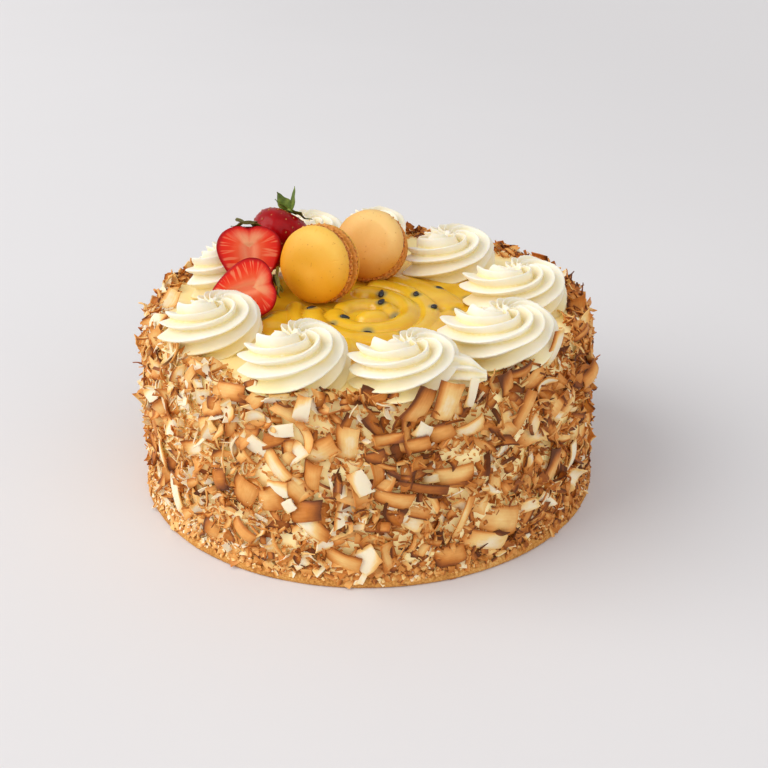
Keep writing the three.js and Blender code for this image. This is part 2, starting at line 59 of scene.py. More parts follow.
def draw(item, channel):
    # an even draw from 0 to 1 that depends only on the item and the channel
    h = ((item + 1) * 0x9E3779B1) & 0xFFFFFFFF
    h = (h ^ ((channel + 1) * 0x85EBCA6B)) & 0xFFFFFFFF
    h = ((h ^ (h >> 15)) * 0x2C1B3C6D) & 0xFFFFFFFF
    h = ((h ^ (h >> 12)) * 0x297A2D39) & 0xFFFFFFFF
    return (h ^ (h >> 15)) / 4294967296


def pull(limits, item, channel):
    return between(*limits, draw(item, channel))


def eitherSide(item, channel):
    return -1 if draw(item, channel) < 0.5 else 1


def spread(index):
    # numbers spread evenly over 0 to 1: the index's binary digits, mirrored
    share, step = 0.0, 0.5
    while index:
        share += (index % 2) * step
        index //= 2
        step /= 2
    return share


def paint(red, green, blue):
    # a screen colour as the linear one that shaders take
    shares = (red / 255, green / 255, blue / 255)
    linear = [c / 12.92 if c < 0.04 else ((c + 0.055) / 1.055) ** 2.4 for c in shares]
    return (*linear, 1.0)


def wobble(place, size, seed=0.0):
    # smooth noise from -1 to 1 with bumps of about that size
    return noise.noise(Vector(place) / size + Vector((seed, seed * 1.7, -seed)))


def pick(piece):
    if bpy.context.mode != "OBJECT":
        bpy.ops.object.mode_set(mode="OBJECT")
    bpy.ops.object.select_all(action="DESELECT")
    if piece:
        piece.select_set(True)
        bpy.context.view_layer.objects.active = piece


def applyAll(piece):
    pick(piece)
    for modifier in [m.name for m in piece.modifiers]:
        bpy.ops.object.modifier_apply(modifier=modifier)


def addObject(name, data):
    made = bpy.data.objects.new(name, data)
    bpy.context.scene.collection.objects.link(made)
    return made


def meshPiece(name, points, faces):
    mesh = bpy.data.meshes.new(name)
    mesh.from_pydata([Vector(p) * mm for p in points], [], faces)
    return addObject(name, mesh)


def joinPieces(name, pieces):
    pick(pieces[0])
    for piece in pieces[1:]:
        piece.select_set(True)
    bpy.ops.object.join()
    joined = bpy.context.object
    joined.name = name
    joined.data.name = name
    return joined


def placePiece(piece, matrix):
    # puts the place in the mesh, so that the object stays at the origin
    piece.data.transform(matrix)
    piece.data.update()


def ringSkin(rings, closeEnds=True, around=True):
    # points and faces of a skin through rings of equal count, open along the side unless it goes around
    count = len(rings[0])
    points = [p for ring in rings for p in ring]
    faces = []
    for r in range(len(rings) - 1):
        for i in range(count if around else count - 1):
            a, b = r * count + i, r * count + (i + 1) % count
            faces.append((a, b, b + count, a + count))
    if closeEnds:
        last = (len(rings) - 1) * count
        for ring in (rings[0], rings[-1]):
            points.append(sum((Vector(p) for p in ring), Vector()) / count)
        for i in range(count):
            j = (i + 1) % count
            faces.append((j, i, len(points) - 2))
            faces.append((last + i, last + j, len(points) - 1))
    return points, faces


def turned(name, outline, sides):
    # a round piece drawn up ring by ring through (radius, height) pairs
    pick(None)
    radius, height = outline[0]
    bpy.ops.mesh.primitive_circle_add(vertices=sides, radius=radius * mm, fill_type="NGON",
                                      location=(0, 0, height * mm))
    piece = bpy.context.object
    piece.name = name
    bpy.ops.object.transform_apply(location=True, rotation=True, scale=True)
    bpy.ops.object.mode_set(mode="EDIT")
    for (r0, z0), (r1, z1) in zip(outline, outline[1:]):
        bpy.ops.mesh.extrude_region_move(TRANSFORM_OT_translate={"value": (0, 0, (z1 - z0) * mm)})
        bpy.ops.transform.resize(value=(r1 / r0, r1 / r0, 1), center_override=(0, 0, z1 * mm))
    bpy.ops.mesh.select_all(action="DESELECT")
    bpy.ops.mesh.select_non_manifold()
    bpy.ops.mesh.edge_face_add()
    bpy.ops.mesh.select_all(action="SELECT")
    bpy.ops.mesh.normals_make_consistent(inside=False)
    bpy.ops.object.mode_set(mode="OBJECT")
    return piece


def pushAlong(piece, depth):
    # moves each vertex along its normal by depth(place in mm) mm
    moves = [(v, v.normal * depth(v.co / mm) * mm) for v in piece.data.vertices]
    for vertex, move in moves:
        vertex.co += move
    piece.data.update()


def remesh(piece, voxel, rounds):
    skin = piece.modifiers.new("skin", "REMESH")
    skin.mode = "VOXEL"
    skin.voxel_size = voxel * mm
    soften = piece.modifiers.new("soften", "SMOOTH")
    soften.iterations = rounds
    soften.factor = 0.5
    applyAll(piece)


def faceOutwards(piece, merge=0):
    # points the normals outwards, after the doubles nearer than merge are merged
    pick(piece)
    bpy.ops.object.mode_set(mode="EDIT")
    bpy.ops.mesh.select_all(action="SELECT")
    if merge:
        bpy.ops.mesh.remove_doubles(threshold=merge * mm)
        bpy.ops.mesh.dissolve_degenerate(threshold=merge / 4 * mm)
    bpy.ops.mesh.normals_make_consistent(inside=False)
    bpy.ops.object.mode_set(mode="OBJECT")


def shadeSmooth(piece, angle):
    pick(piece)
    if angle < 180:
        bpy.ops.object.shade_smooth_by_angle(angle=math.radians(angle))
    else:
        bpy.ops.object.shade_smooth()


def colourPoints(piece, name, values):
    layer = piece.data.color_attributes.new(name, "FLOAT_COLOR", "POINT")
    layer.data.foreach_set("color", [c for value in values for c in value])


def shadePoints(piece, name, values):
    colourPoints(piece, name, [(v, v, v, 1) for v in values])


def storeGrain(piece, grain):
    # a UV map from one pair of numbers for each vertex
    layer = piece.data.uv_layers.new(name="grain")
    corners = [0] * len(piece.data.loops)
    piece.data.loops.foreach_get("vertex_index", corners)
    layer.data.foreach_set("uv", [c for v in corners for c in grain[v]])


def standAlong(direction):
    # turns what stands upright to the direction
    return Vector((0, 0, 1)).rotation_difference(direction).to_matrix().to_4x4()


def finishPiece(piece, finish, node, angle=180):
    shadeSmooth(piece, angle)
    piece.data.materials.clear()
    piece.data.materials.append(finish.material)
    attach(piece, "root")
    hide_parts(node)
    print(f"         {piece.name}: {len(piece.data.polygons)} faces")


# Shader helpers.

class Wire:
    # an output socket; arithmetic on it adds Math nodes
    def __init__(self, finish, socket):
        self.finish = finish
        self.socket = socket

    def join(self, operation, left, right):
        return self.finish.add("ShaderNodeMath", {"operation": operation}, {0: left, 1: right})

    def __add__(self, other):
        return self.join("ADD", self, other)

    def __radd__(self, other):
        return self.join("ADD", other, self)

    def __sub__(self, other):
        return self.join("SUBTRACT", self, other)

    def __rsub__(self, other):
        return self.join("SUBTRACT", other, self)

    def __mul__(self, other):
        return self.join("MULTIPLY", self, other)

    def __rmul__(self, other):
        return self.join("MULTIPLY", other, self)


class Finish:
    # one material: a Principled shader and what feeds it
    def __init__(self, name, rough, shine=0.5, under=(), gloss=(), glow=()):
        self.material = bpy.data.materials.new(name)
        self.material.use_nodes = True
        self.tree = self.material.node_tree
        self.shader = self.tree.nodes["Principled BSDF"]
        fixed = [("Roughness", rough), ("Specular IOR Level", shine)]
        fixed += zip(("Subsurface Weight", "Subsurface Radius", "Subsurface Scale"), under)
        fixed += zip(("Coat Weight", "Coat Roughness"), gloss)
        fixed += zip(("Emission Color", "Emission Strength"), glow)
        for socket, value in fixed:
            self.shader.inputs[socket].default_value = value

    def add(self, kind, settings=None, sockets=None, out=0):
        made = self.tree.nodes.new(kind)
        for key, value in (settings or {}).items():
            if key == "stops":
                self.setStops(made.color_ramp, value)
            else:
                setattr(made, key, value)
        for key, value in (sockets or {}).items():
            self.feed(made.inputs[key], value)
        return Wire(self, made.outputs[out])

    def setStops(self, ramp, stops):
        while len(ramp.elements) < len(stops):
            ramp.elements.new(0.5)
        for element, (position, colour) in zip(ramp.elements, stops):
            element.position = position
            element.color = colour

    def feed(self, socket, value):
        if isinstance(value, Wire):
            self.tree.links.new(value.socket, socket)
        else:
            socket.default_value = value

    def give(self, socket, value):
        self.feed(self.shader.inputs[socket], value)

    def place(self):
        return self.add("ShaderNodeTexCoord", out="Object")

    def noise(self, scale, detail=2.0, rough=0.5):
        return self.add("ShaderNodeTexNoise", {}, {
            "Vector": self.place(), "Scale": scale, "Detail": detail, "Roughness": rough})

    def fibre(self, stretch, detail):
        # noise drawn out along the piece's own grain
        grain = self.add("ShaderNodeUVMap", {"uv_map": "grain"})
        drawn = self.add("ShaderNodeMapping", {}, {"Vector": grain, "Scale": stretch})
        return self.add("ShaderNodeTexNoise", {}, {"Vector": drawn, "Scale": 1.0, "Detail": detail})

    def ramp(self, value, stops):
        return self.add("ShaderNodeValToRGB", {"stops": stops}, {0: value})

    def clouded(self, grain, stops):
        self.give("Base Color", self.ramp(self.noise(*grain), stops))

    def mask(self, value, low, high):
        # 0 below low, 1 above high
        return self.add("ShaderNodeMapRange", {"interpolation_type": "SMOOTHSTEP"}, {
            "Value": value, "From Min": low, "From Max": high})

    def mix(self, share, first, second):
        return self.add("ShaderNodeMix", {"data_type": "RGBA"}, {0: share, 6: first, 7: second}, out=2)

    def channels(self, name):
        # the three numbers that the vertices hold under that name
        colour = self.add("ShaderNodeAttribute", {"attribute_name": name}, out="Color")
        parts = self.add("ShaderNodeSeparateColor", {}, {0: colour})
        node = parts.socket.node
        return [Wire(self, node.outputs[i]) for i in range(3)]

    def bump(self, height, distance, strength=1.0):
        self.give("Normal", self.add("ShaderNodeBump", {}, {
            "Strength": strength, "Distance": distance * mm, "Height": height}))


# Camera, light and floor.

photoCamera = {"distance": 660, "elevation": 30.06, "lookAt": (8.28, 0, 45.6), "roll": -0.45, "lens": 56.25}
studio = {
    "sky": paint(242, 242, 244), "skyStrength": 0.56,
    "key": {"from": (-0.8, -0.12, 0.6), "spread": 60, "power": 1.95, "colour": (1.0, 0.985, 0.955)},
    "fill": {"from": (0.28, -0.75, 0.6), "spread": 80, "power": 0.8, "colour": (0.985, 0.99, 1.0)},
    # the floor's two colours are a painted light falloff: brighter to the left, darker to the right
    "floorSize": 30000, "floor": [paint(235, 233, 234), paint(217, 215, 216)], "floorLightFade": (-0.45, 0.75),
    "floorLightTowards": (0.9, 0.32, 0),
}


def setCamera():
    rise = math.radians(photoCamera["elevation"])
    reach = photoCamera["distance"] * mm
    place = Vector((0, -reach * math.cos(rise), reach * math.sin(rise)))
    aim = Vector(photoCamera["lookAt"]) * mm
    data = bpy.data.cameras.new("photoCamera")
    camera = addObject("photoCamera", data)
    data.sensor_width = 36
    data.lens = photoCamera["lens"]
    turn = Matrix.Rotation(math.radians(photoCamera["roll"]), 4, "Z").to_quaternion()
    camera.rotation_mode = "QUATERNION"
    camera.rotation_quaternion = (aim - place).to_track_quat("-Z", "Y") @ turn
    camera.location = place
    bpy.context.scene.camera = camera


def addSun(name, row):
    data = bpy.data.lights.new(name, "SUN")
    data.energy = row["power"]
    data.angle = math.radians(row["spread"])
    data.color = row["colour"]
    lamp = addObject(name, data)
    lamp.rotation_mode = "QUATERNION"
    lamp.rotation_quaternion = Vector(row["from"]).to_track_quat("Z", "Y")


def setStudio():
    world = bpy.data.worlds.new("studioSky")
    world.use_nodes = True
    sky = world.node_tree.nodes["Background"]
    sky.inputs["Color"].default_value = studio["sky"]
    sky.inputs["Strength"].default_value = studio["skyStrength"]
    bpy.context.scene.world = world
    addSun("keyLight", studio["key"])
    addSun("fillLight", studio["fill"])
    bpy.context.scene.view_settings.view_transform = "Standard"
    pick(None)
    bpy.ops.mesh.primitive_plane_add(size=studio["floorSize"] * mm)
    floor = bpy.context.object
    floor.name = "studioFloor"
    finish = Finish("floorPaintedLight", 0.8, 0.1)
    # painted light: the floor fades from lit on the left to shaded on the right
    towards = {0: finish.place(), 1: studio["floorLightTowards"]}
    across = finish.add("ShaderNodeVectorMath", {"operation": "DOT_PRODUCT"}, towards, out=1)
    cloud = finish.noise(5, 3)
    lightFade = finish.mask(across + (cloud - 0.5) * 0.12, *studio["floorLightFade"])
    finish.give("Base Color", finish.mix(lightFade, *studio["floor"]))
    floor.data.materials.append(finish.material)


setCamera()
setStudio()
report("camera, light and floor")


# The sponge base.

baseDisc = {
    "radius": 119.8, "thickness": 5, "sides": 640, "crumb": 0.28, "crumbSize": 1.6, "lump": 0.5,
    "lumpSize": 14,
}


def spongeFinish():
    finish = Finish("spongeCrust", 0.88, 0.25)
    crumb = finish.noise(900, 4, 0.65)
    patch = finish.noise(60, 3)
    tone = crumb * 0.72 + patch * 0.28
    finish.give("Base Color", finish.ramp(tone, [
        (0.30, paint(140, 84, 34)), (0.44, paint(198, 132, 60)),
        (0.56, paint(224, 162, 84)), (0.72, paint(242, 202, 132))]))
    finish.bump(finish.noise(1100, 4, 0.7), 0.5, 0.8)
    return finish


def makeBase():
    r, h = baseDisc["radius"], baseDisc["thickness"]
    outline = [(90, 0), (r - 2.5, 0), (r - 0.9, 0.15), (r - 0.2, 0.8), (r, 1.5), (r - 0.1, 2.3),
               (r - 0.6, 3.0), (r - 1.4, 3.7), (r - 2.4, 4.4), (r - 3.6, h - 0.1), (r - 4.6, h),
               (r - 6, h), (r - 20, h), (60, h)]
    piece = turned("spongeBase", outline, baseDisc["sides"])

    def crumb(place):
        if place.z < 0.1:
            return 0
        low = smooth(0.1, 1.0, place.z)
        rough = baseDisc["crumb"] * (wobble(place, baseDisc["crumbSize"]) + 0.5 * wobble(place, 0.8, 4))
        return low * (rough + baseDisc["lump"] * (wobble(place, baseDisc["lumpSize"], 2) - 0.5) * 0.6)

    pushAlong(piece, crumb)
    finishPiece(piece, spongeFinish(), "base_disc")


makeBase()
report("sponge base")


# The cream coat.

coat = {
    "bottom": 5.0, "top": 92.0, "radiusBottom": 114.6, "radiusMiddle": 113.2, "radiusTop": 109.4,
    "edge": 5.5, "sides": 300, "rings": 44, "lump": 2.4, "lumpSize": 16, "dent": 0.7, "dentSize": 5,
}


def coatRadius(z):
    share = (z - coat["bottom"]) / (coat["top"] - coat["bottom"])
    straight = between(coat["radiusBottom"], coat["radiusTop"], share)
    bulge = coat["radiusMiddle"] - (coat["radiusBottom"] + coat["radiusTop"]) / 2
    return straight + bulge * 4 * share * (1 - share)


def creamFinish(name, tones, groove, under, light):
    # the emission is a painted glow: it stands in for light passing through the cream and lifts its shade
    finish = Finish(name, 0.42, 0.35, under=(under, (1.0, 0.8, 0.5), 0.002),
                    glow=(paint(255, 226, 130), light))
    cloud = finish.noise(70, 3)
    colour = finish.ramp(cloud, [(0.35, tones[0]), (0.65, tones[1])])
    if groove:
        # painted shade: the third tone is mixed in where the surface lies in a hollow and low on each swirl,
        # where shade falls
        deep = finish.channels("hollow")[0]
        colour = finish.mix(finish.mask(deep, 0.35, 0.9) * groove, colour, tones[2])
        height = finish.add("ShaderNodeSeparateXYZ", {}, {0: finish.place()}, out=2)
        colour = finish.mix((1 - finish.mask(height, 0.0925, 0.104)) * 0.55, colour, tones[2])
    finish.give("Base Color", colour)
    finish.bump(finish.noise(420, 3), 0.12, 0.5)
    return finish


def makeCoat():
    top, edge = coat["top"], coat["edge"]
    outline = [(70, coat["bottom"])]
    for i in range(coat["rings"]):
        z = between(coat["bottom"], top - edge, i / (coat["rings"] - 1))
        outline.append((coatRadius(z), z))
    rim = coatRadius(top - edge)
    for turn in (18, 36, 54, 72, 90):
        a = math.radians(turn)
        outline.append((rim - edge + edge * math.cos(a), top - edge + edge * math.sin(a)))
    outline += [(r, top) for r in (100, 96, 92, 88, 84, 78, 70, 60, 45)]
    piece = turned("creamCoat", outline, coat["sides"])

    def handSpread(place):
        rise = smooth(coat["bottom"] - 1, coat["bottom"] + 4, place.z)
        push = coat["lump"] * (wobble(place, coat["lumpSize"]) + 0.1)
        push += coat["dent"] * wobble(place, coat["dentSize"], 3)
        flat = 0.2 if place.z > top - 0.5 else 1.0
        return push * rise * flat

    pushAlong(piece, handSpread)
    tones = [paint(255, 231, 166), paint(255, 240, 190)]
    # the last number is a painted glow that brightens the coat's shade
    finishPiece(piece, creamFinish("spreadCream", tones, 0, 0.08, 0.13), "cake_body")


makeCoat()
report("cream coat")


# The piped swirls.

swirlRows = [
    {"at": (-33, -83.5), "reach": 28, "height": 23, "start": 186, "drift": (4, -2)},
    {"at": (17, -89.5), "reach": 27.5, "height": 21, "start": 175, "drift": (5, -4)},
    {"at": (62, -60), "reach": 30, "height": 23, "start": 165},
    {"at": (75, -6), "reach": 29, "height": 23, "start": 170},
    {"at": (43, 44), "reach": 30, "height": 23, "start": 205},
    {"at": (-74.5, -43), "reach": 27.5, "height": 22, "start": 195},
    {"at": (-75, 24), "reach": 26, "height": 24, "start": 215},
    {"at": (-34, 78), "reach": 25, "height": 21, "start": 250},
    {"at": (1.5, 86), "reach": 24, "height": 20, "start": 230},
]
piping = {
    "teeth": 11, "rings": 140, "perTooth": 12, "turn": 390, "coil": 0.44, "coilClose": 0.5,
    "halfWidth": 0.56, "halfHeight": 0.5, "taper": 8, "endSize": 0.14, "startHeight": 0.55, "endHeight": 0.59,
    "climb": 1.3, "roll": 80, "twist": 300, "groove": 0.42, "crest": 1.2, "drift": 4, "foot": 0.1,
    "startRound": 0.035, "toothSize": (0.93, 1.05), "sway": 0.1, "voxel": 0.5, "soften": 2,
    "tail": {"swirl": 1, "start": 0.15, "length": 31, "level": 0.5, "drop": 4.5, "halfWidth": 10.5,
             "halfHeight": 9, "heading": -9},
}


def starReach(angle, teeth, deep):
    half = teeth * angle / 2
    return 1 - deep * (0.55 * abs(math.sin(half)) + 0.45 * (1 - abs(math.cos(half))))


def swirlRope(row, number):
    p = piping
    count = p["teeth"] * p["perTooth"]
    # where the rope closes, off the middle: away from its start unless the row says where
    away = math.radians(row["start"] + 180)
    driftX, driftY = row.get("drift", (p["drift"] * math.cos(away), p["drift"] * math.sin(away) - 3))
    rings = []
    for i in range(p["rings"] + 1):
        s = i / p["rings"]
        turn = math.radians(row["start"] + p["turn"] * s)
        coil = row["reach"] * p["coil"] * (1 - s) ** p["coilClose"]
        size = p["endSize"] + (1 - p["endSize"]) * (1 - s ** p["taper"])
        begin = math.sqrt(1 - (1 - min(1, (s + 0.004) / p["startRound"])) ** 2)
        level = row["height"] * between(p["startHeight"], p["endHeight"], s ** p["climb"])
        roll = math.radians(p["roll"] * s + p["twist"] * s * s + 7 * number)
        ring = []
        for j in range(count):
            angle = 2 * math.pi * j / count
            star = angle - roll
            sway = 1 + p["sway"] * wobble((9 * s, math.cos(star), math.sin(star) + 7.3 * number), 0.8)
            tooth = round(p["teeth"] * star / (2 * math.pi)) % p["teeth"]
            deep = p["groove"] * (1 + p["crest"] * max(0, math.sin(angle - 0.5)) ** 2 * smooth(0.05, 0.3, s))
            reach = starReach(star, p["teeth"], deep) * sway * pull(p["toothSize"], tooth, number)
            across, rise = math.cos(angle), math.sin(angle)
            tall = row["height"] * p["halfHeight"] * size * begin * reach
            if rise < 0:
                across = math.copysign(abs(across) ** p["foot"], across)
                tall = level * 1.2
            out = max(coil + row["reach"] * p["halfWidth"] * size * begin * reach * across, 0.6)
            x, y = out * math.cos(turn) + driftX * s * s, out * math.sin(turn) + driftY * s * s
            ring.append((x, y, max(level + tall * rise, 0)))
        rings.append(ring)
    return meshPiece("rope", *ringSkin(rings))


def swirlTail(row):
    t = piping["tail"]
    rings = []
    for i in range(25):
        share = i / 24
        size = (1 - 0.25 * share) * (1 - smooth(0.75, 1.0, share) * 0.6)
        level = row["height"] * t["level"] - t["drop"] * share
        ring = []
        for j in range(60):
            angle = 2 * math.pi * j / 60
            reach = starReach(angle + share, 8, piping["groove"])
            side = t["heading"] * share + t["halfWidth"] * size * reach * math.cos(angle)
            up = max(level + t["halfHeight"] * size * reach * math.sin(angle), 0)
            ring.append((row["reach"] * t["start"] + t["length"] * share, side, up))
        rings.append(ring)
    return meshPiece("tail", *ringSkin(rings))


def markHollows(piece, rounds, depth):
    # stores how deep each vertex lies under the smoothed surface round it
    mesh = piece.data
    count = len(mesh.vertices)
    places = numpy.empty(count * 3)
    mesh.vertices.foreach_get("co", places)
    places = places.reshape(-1, 3)
    normals = numpy.empty(count * 3)
    mesh.vertices.foreach_get("normal", normals)
    edges = numpy.empty(len(mesh.edges) * 2, dtype=numpy.int64)
    mesh.edges.foreach_get("vertices", edges)
    edges = edges.reshape(-1, 2)
    links = numpy.bincount(edges.ravel(), minlength=count).reshape(-1, 1)
    soft = places.copy()
    for _ in range(rounds):
        total = numpy.zeros_like(soft)
        for axis in range(3):
            total[:, axis] = numpy.bincount(edges[:, 0], soft[edges[:, 1], axis], count)
            total[:, axis] += numpy.bincount(edges[:, 1], soft[edges[:, 0], axis], count)
        soft = total / numpy.maximum(links, 1)
    under = ((soft - places) * normals.reshape(-1, 3)).sum(axis=1) / (depth * mm)
    shadePoints(piece, "hollow", numpy.clip(0.5 + 0.5 * under, 0, 1).tolist())


def makeSwirl(row, number, finish):
    cone, tall = row["reach"] * 0.5, 0.5 * row["height"]
    pick(None)
    bpy.ops.mesh.primitive_cone_add(vertices=32, radius1=cone * mm, radius2=0.5 * cone * mm,
                                    depth=tall * mm, location=(0, 0, tall / 2 * mm))
    parts = [bpy.context.object, swirlRope(row, number)]
    bpy.ops.object.transform_apply(location=True, rotation=True, scale=True)
    if piping["tail"]["swirl"] == number - 1:
        parts.append(swirlTail(row))
    piece = joinPieces(f"creamSwirl{number}", parts)
    remesh(piece, piping["voxel"], piping["soften"])
    markHollows(piece, 14, 0.9)
    placePiece(piece, Matrix.Translation(Vector((*row["at"], coat["top"] + 0.1)) * mm))
    finishPiece(piece, finish, f"swirl_{number}")


# the third tone is the painted shade of the grooves and the swirls' feet
pipedTones = [paint(246, 238, 218), paint(250, 244, 230), paint(251, 229, 144)]
# its last number is a faint painted glow
pipedCream = creamFinish("pipedCream", pipedTones, 0.85, 0.3, 0.02)
for rowNumber, swirlRow in enumerate(swirlRows, 1):
    makeSwirl(swirlRow, rowNumber, pipedCream)
report("piped swirls")


# The coconut.

shavingRule = {
    "crust": 1.6, "reach": 4.6, "limit": 119, "grip": 0.9, "float": 0.3, "thickness": 0.8,
    "sideCount": 78, "rimCount": 22, "step": 137.508, "jitter": 8, "heights": (12, 86),
    "length": (11, 21), "width": (6, 10), "tilt": (16, 50), "lean": (5, 24), "curl": (15, 95),
    "cup": (-30, 60), "pitch": (30, 75), "cells": (12, 7), "ragged": 1.0, "skin": 0.9,
    "keyTilt": (-22, 22), "keyLean": (4, 16), "keyRagged": 0.45, "shadeAngle": 38,
}
# how brown a flake gets: over one end and at its rims; paler round the side that faces the key light, a
# painted light
toasting = {
    "bake": (0.12, 0.6), "endBrown": 0.04, "rimBrown": 0.02, "pale": 0.04, "litSidePale": 0.24, "away": 150,
}
# the shavings that catch the eye: turn round the cake, height, length, width, roll, curl along and across,
# tone from 0 ivory to 1 dark brown, share of brown skin, lift
keyShavings = [
    (-101, 69, 18, 10, 35, 25, 60, 0.36, 0.7, 1.5), (-112, 59, 18, 11, -48, 30, 80, 0.32, 0.8, 1.5),
    (-127, 44, 11, 11, 20, 60, 50, 0.88, 0.3, 1.5), (-120, 41, 16, 13, 70, 40, 50, 0.62, 0.6, 1.2),
    (-113, 42, 15, 12, 25, 40, 20, 0.55, 0.6, 1.6), (-105, 39, 18, 10, 15, 70, 60, 0.74, 0.5, 2.2),
    (-105, 87, 16, 7, 75, 70, 20, 0.02, 0, 1.6), (-110, 77, 13, 6, 12, 40, 20, 0.02, 0.1, 1.8),
    (-116, 67, 10, 10, 60, 20, 10, 0.02, 0.1, 1), (-111, 48, 11, 8, 10, 20, 30, 0.08, 0.3, 2),
    (-108, 41, 6.5, 6, 40, 10, 10, 0, 0, 2.6), (-92, 55, 12, 8, -60, 20, 10, 0.02, 0, 1.8),
    (-91, 15, 13, 12, 45, 25, 20, 0.06, 0.8, 2), (-104, 33, 26, 9, -42, 60, 30, 0.22, 0.3, 1),
    (-121, 20, 15, 8, -25, 60, 150, 0.7, 0.4, 2), (-130, 8, 13, 9, 80, 150, 20, 0.66, 0.5, 1.6),
    (-144, 26, 26, 5.5, -62, 40, 20, 0.06, 0.1, 1.2), (-150, 38, 17, 9, -25, 30, 60, 0.08, 0.9, 2),
    (-115, 19, 5, 3, 80, 20, 60, 0.85, 0.2, 1.4), (-103, 56, 17, 8, 80, 30, 60, 0.6, 0.5, 1.6),
    (-97, 9, 20, 10, -18, 40, 30, 0.42, 0.7, 1.2), (-95, 73, 18, 10, 85, 20, 30, 0.3, 0.4, 0.6),
    (-89, 67, 11, 6, 20, 80, 60, 0.8, 0.5, 2.2), (-123, 90, 16, 8, 6, 30, 60, 0.6, 0.6, 1.5),
    (-131, 69, 14, 9, 30, 40, 40, 0.45, 0.6, 1.2), (-156, 49, 16, 9, 80, 30, 60, 0.85, 0.4, 1.4),
    (-79, 92, 18, 11, 62, 30, 30, 0.5, 0.9, 6), (-73, 92, 19, 11, 76, 20, 40, 0.34, 1, 5.6),
    (-67, 93, 16, 4, 86, 30, 10, 0.02, 0, 4), (-57, 92, 14, 7, 112, 30, 40, 0.6, 0.7, 2),
    (-53, 95, 16, 5, 8, 80, 40, 0.72, 0.6, 1.6), (-22, 69, 14, 11, 20, 40, 170, 0.55, 0.8, 5.5),
    (-52, 74, 24, 9, 62, 20, 130, 0.6, 0.7, 2.4), (-41, 39, 18, 13, 70, 30, 60, 0.5, 0.8, 2),
    (-32, 33, 24, 7, 97, 50, 30, 0.14, 0.5, 1.4), (-80, 51, 29, 6, -8, 20, 70, 0.84, 0.4, 2.2),
    (-85, 46, 18, 8, -14, 50, 40, 0.45, 0.6, 2), (-69, 31, 26, 3.4, 75, 20, 20, 0.42, 0.4, 2),
    (-60, 24, 25, 15, -12, 60, 40, 0.46, 0.6, 0.9), (-63, 16, 24, 9, -20, 40, 40, 0.32, 0.5, 1.8),
    (-72, 10, 16, 10, 10, 50, 40, 0.62, 0.6, 1.2), (-74, 76, 12, 9, 20, 60, 60, 0.6, 0.8, 1.8),
    (-67, 75, 15, 8, 25, 60, 40, 0.3, 0.6, 2), (-81, 71, 18, 8, 10, 30, 60, 0.55, 0.6, 1.4),
    (-78, 77, 9, 9, 50, 60, 60, 0, 0, 1.6), (-71, 54, 19, 9, 0, 50, 40, 0.4, 0.6, 1.6),
    (-34, 65, 16, 10, 30, 60, 40, 0.45, 0.6, 1.6), (-40, 99, 17, 9, 72, 30, 50, 0.16, 0.9, 2.5),
    (-22, 93, 16, 3, 10, 60, 10, 0.7, 0.3, 1),
]
# what lies between and over the large ones, as (lowest, highest) of each draw, or (small, large) flakes
betweenRule = {
    "jitter": 25, "heights": (6, 90), "cup": (-50, 70), "curlOut": 0.62, "pitch": (15, 88), "inset": 7.5,
    "darkest": (0.5, 0.95), "skin": (0.2, 0.9),
}
coconutKinds = [
    {"name": "broadShavings", "count": 720, "rim": 120, "length": (8, 19), "width": (4.5, 9.5),
     "tilt": (4, 46), "lean": (4, 30), "curl": (15, 110), "lift": (-0.6, 1.8),
     "thickness": 0.6, "cells": (6, 4), "ragged": 1.0},
    {"name": "smallShavings", "count": 2100, "rim": 360, "length": (4, 9.5), "width": (2.2, 5),
     "tilt": (4, 62), "lean": (4, 48), "curl": (10, 110), "lift": (-0.3, 2.0),
     "thickness": 0.5, "cells": (3, 2), "ragged": 1.0},
    {"name": "coconutSlivers", "count": 760, "rim": 120, "length": (4, 13), "width": (0.7, 1.6),
     "tilt": (0, 80), "lean": (3, 30), "curl": (5, 70), "lift": (0, 2.4),
     "thickness": 0.55, "cells": (4, 1), "ragged": 0.3},
    {"name": "coconutCrumbs", "count": 8200, "rim": 1500, "length": (1.1, 3.2), "width": (0.8, 2.2),
     "tilt": (0, 80), "lean": (0, 60), "curl": (5, 60), "lift": (-0.2, 1.6),
     "thickness": 0.5, "cells": (1, 1), "ragged": 0.35},
]
footCrumbs = {
    "count": 3600, "heights": (3.2, 12), "reach": (118.9, 116.2), "loose": (-1.0, 0.7),
    "thickness": 0.6, "cells": (2, 1), "ragged": 0.5,
    "largeShare": 0.2, "large": ((3, 7.5), (2, 4.5)), "small": ((1.2, 3), (0.9, 2.2)),
    "slope": (0, 60), "curl": (-60, 80), "cup": (-40, 60), "darkest": 0.5, "skin": 0.3,
}


def turnTowards(first, second, angle):
    return first * math.cos(math.radians(angle)) + second * math.sin(math.radians(angle))


def wayOut(degrees):
    # out of the side at that turn round the cake, along the side, and up
    across, along = math.cos(math.radians(degrees)), math.sin(math.radians(degrees))
    return Vector((across, along, 0)), Vector((-along, across, 0)), Vector((0, 0, 1))


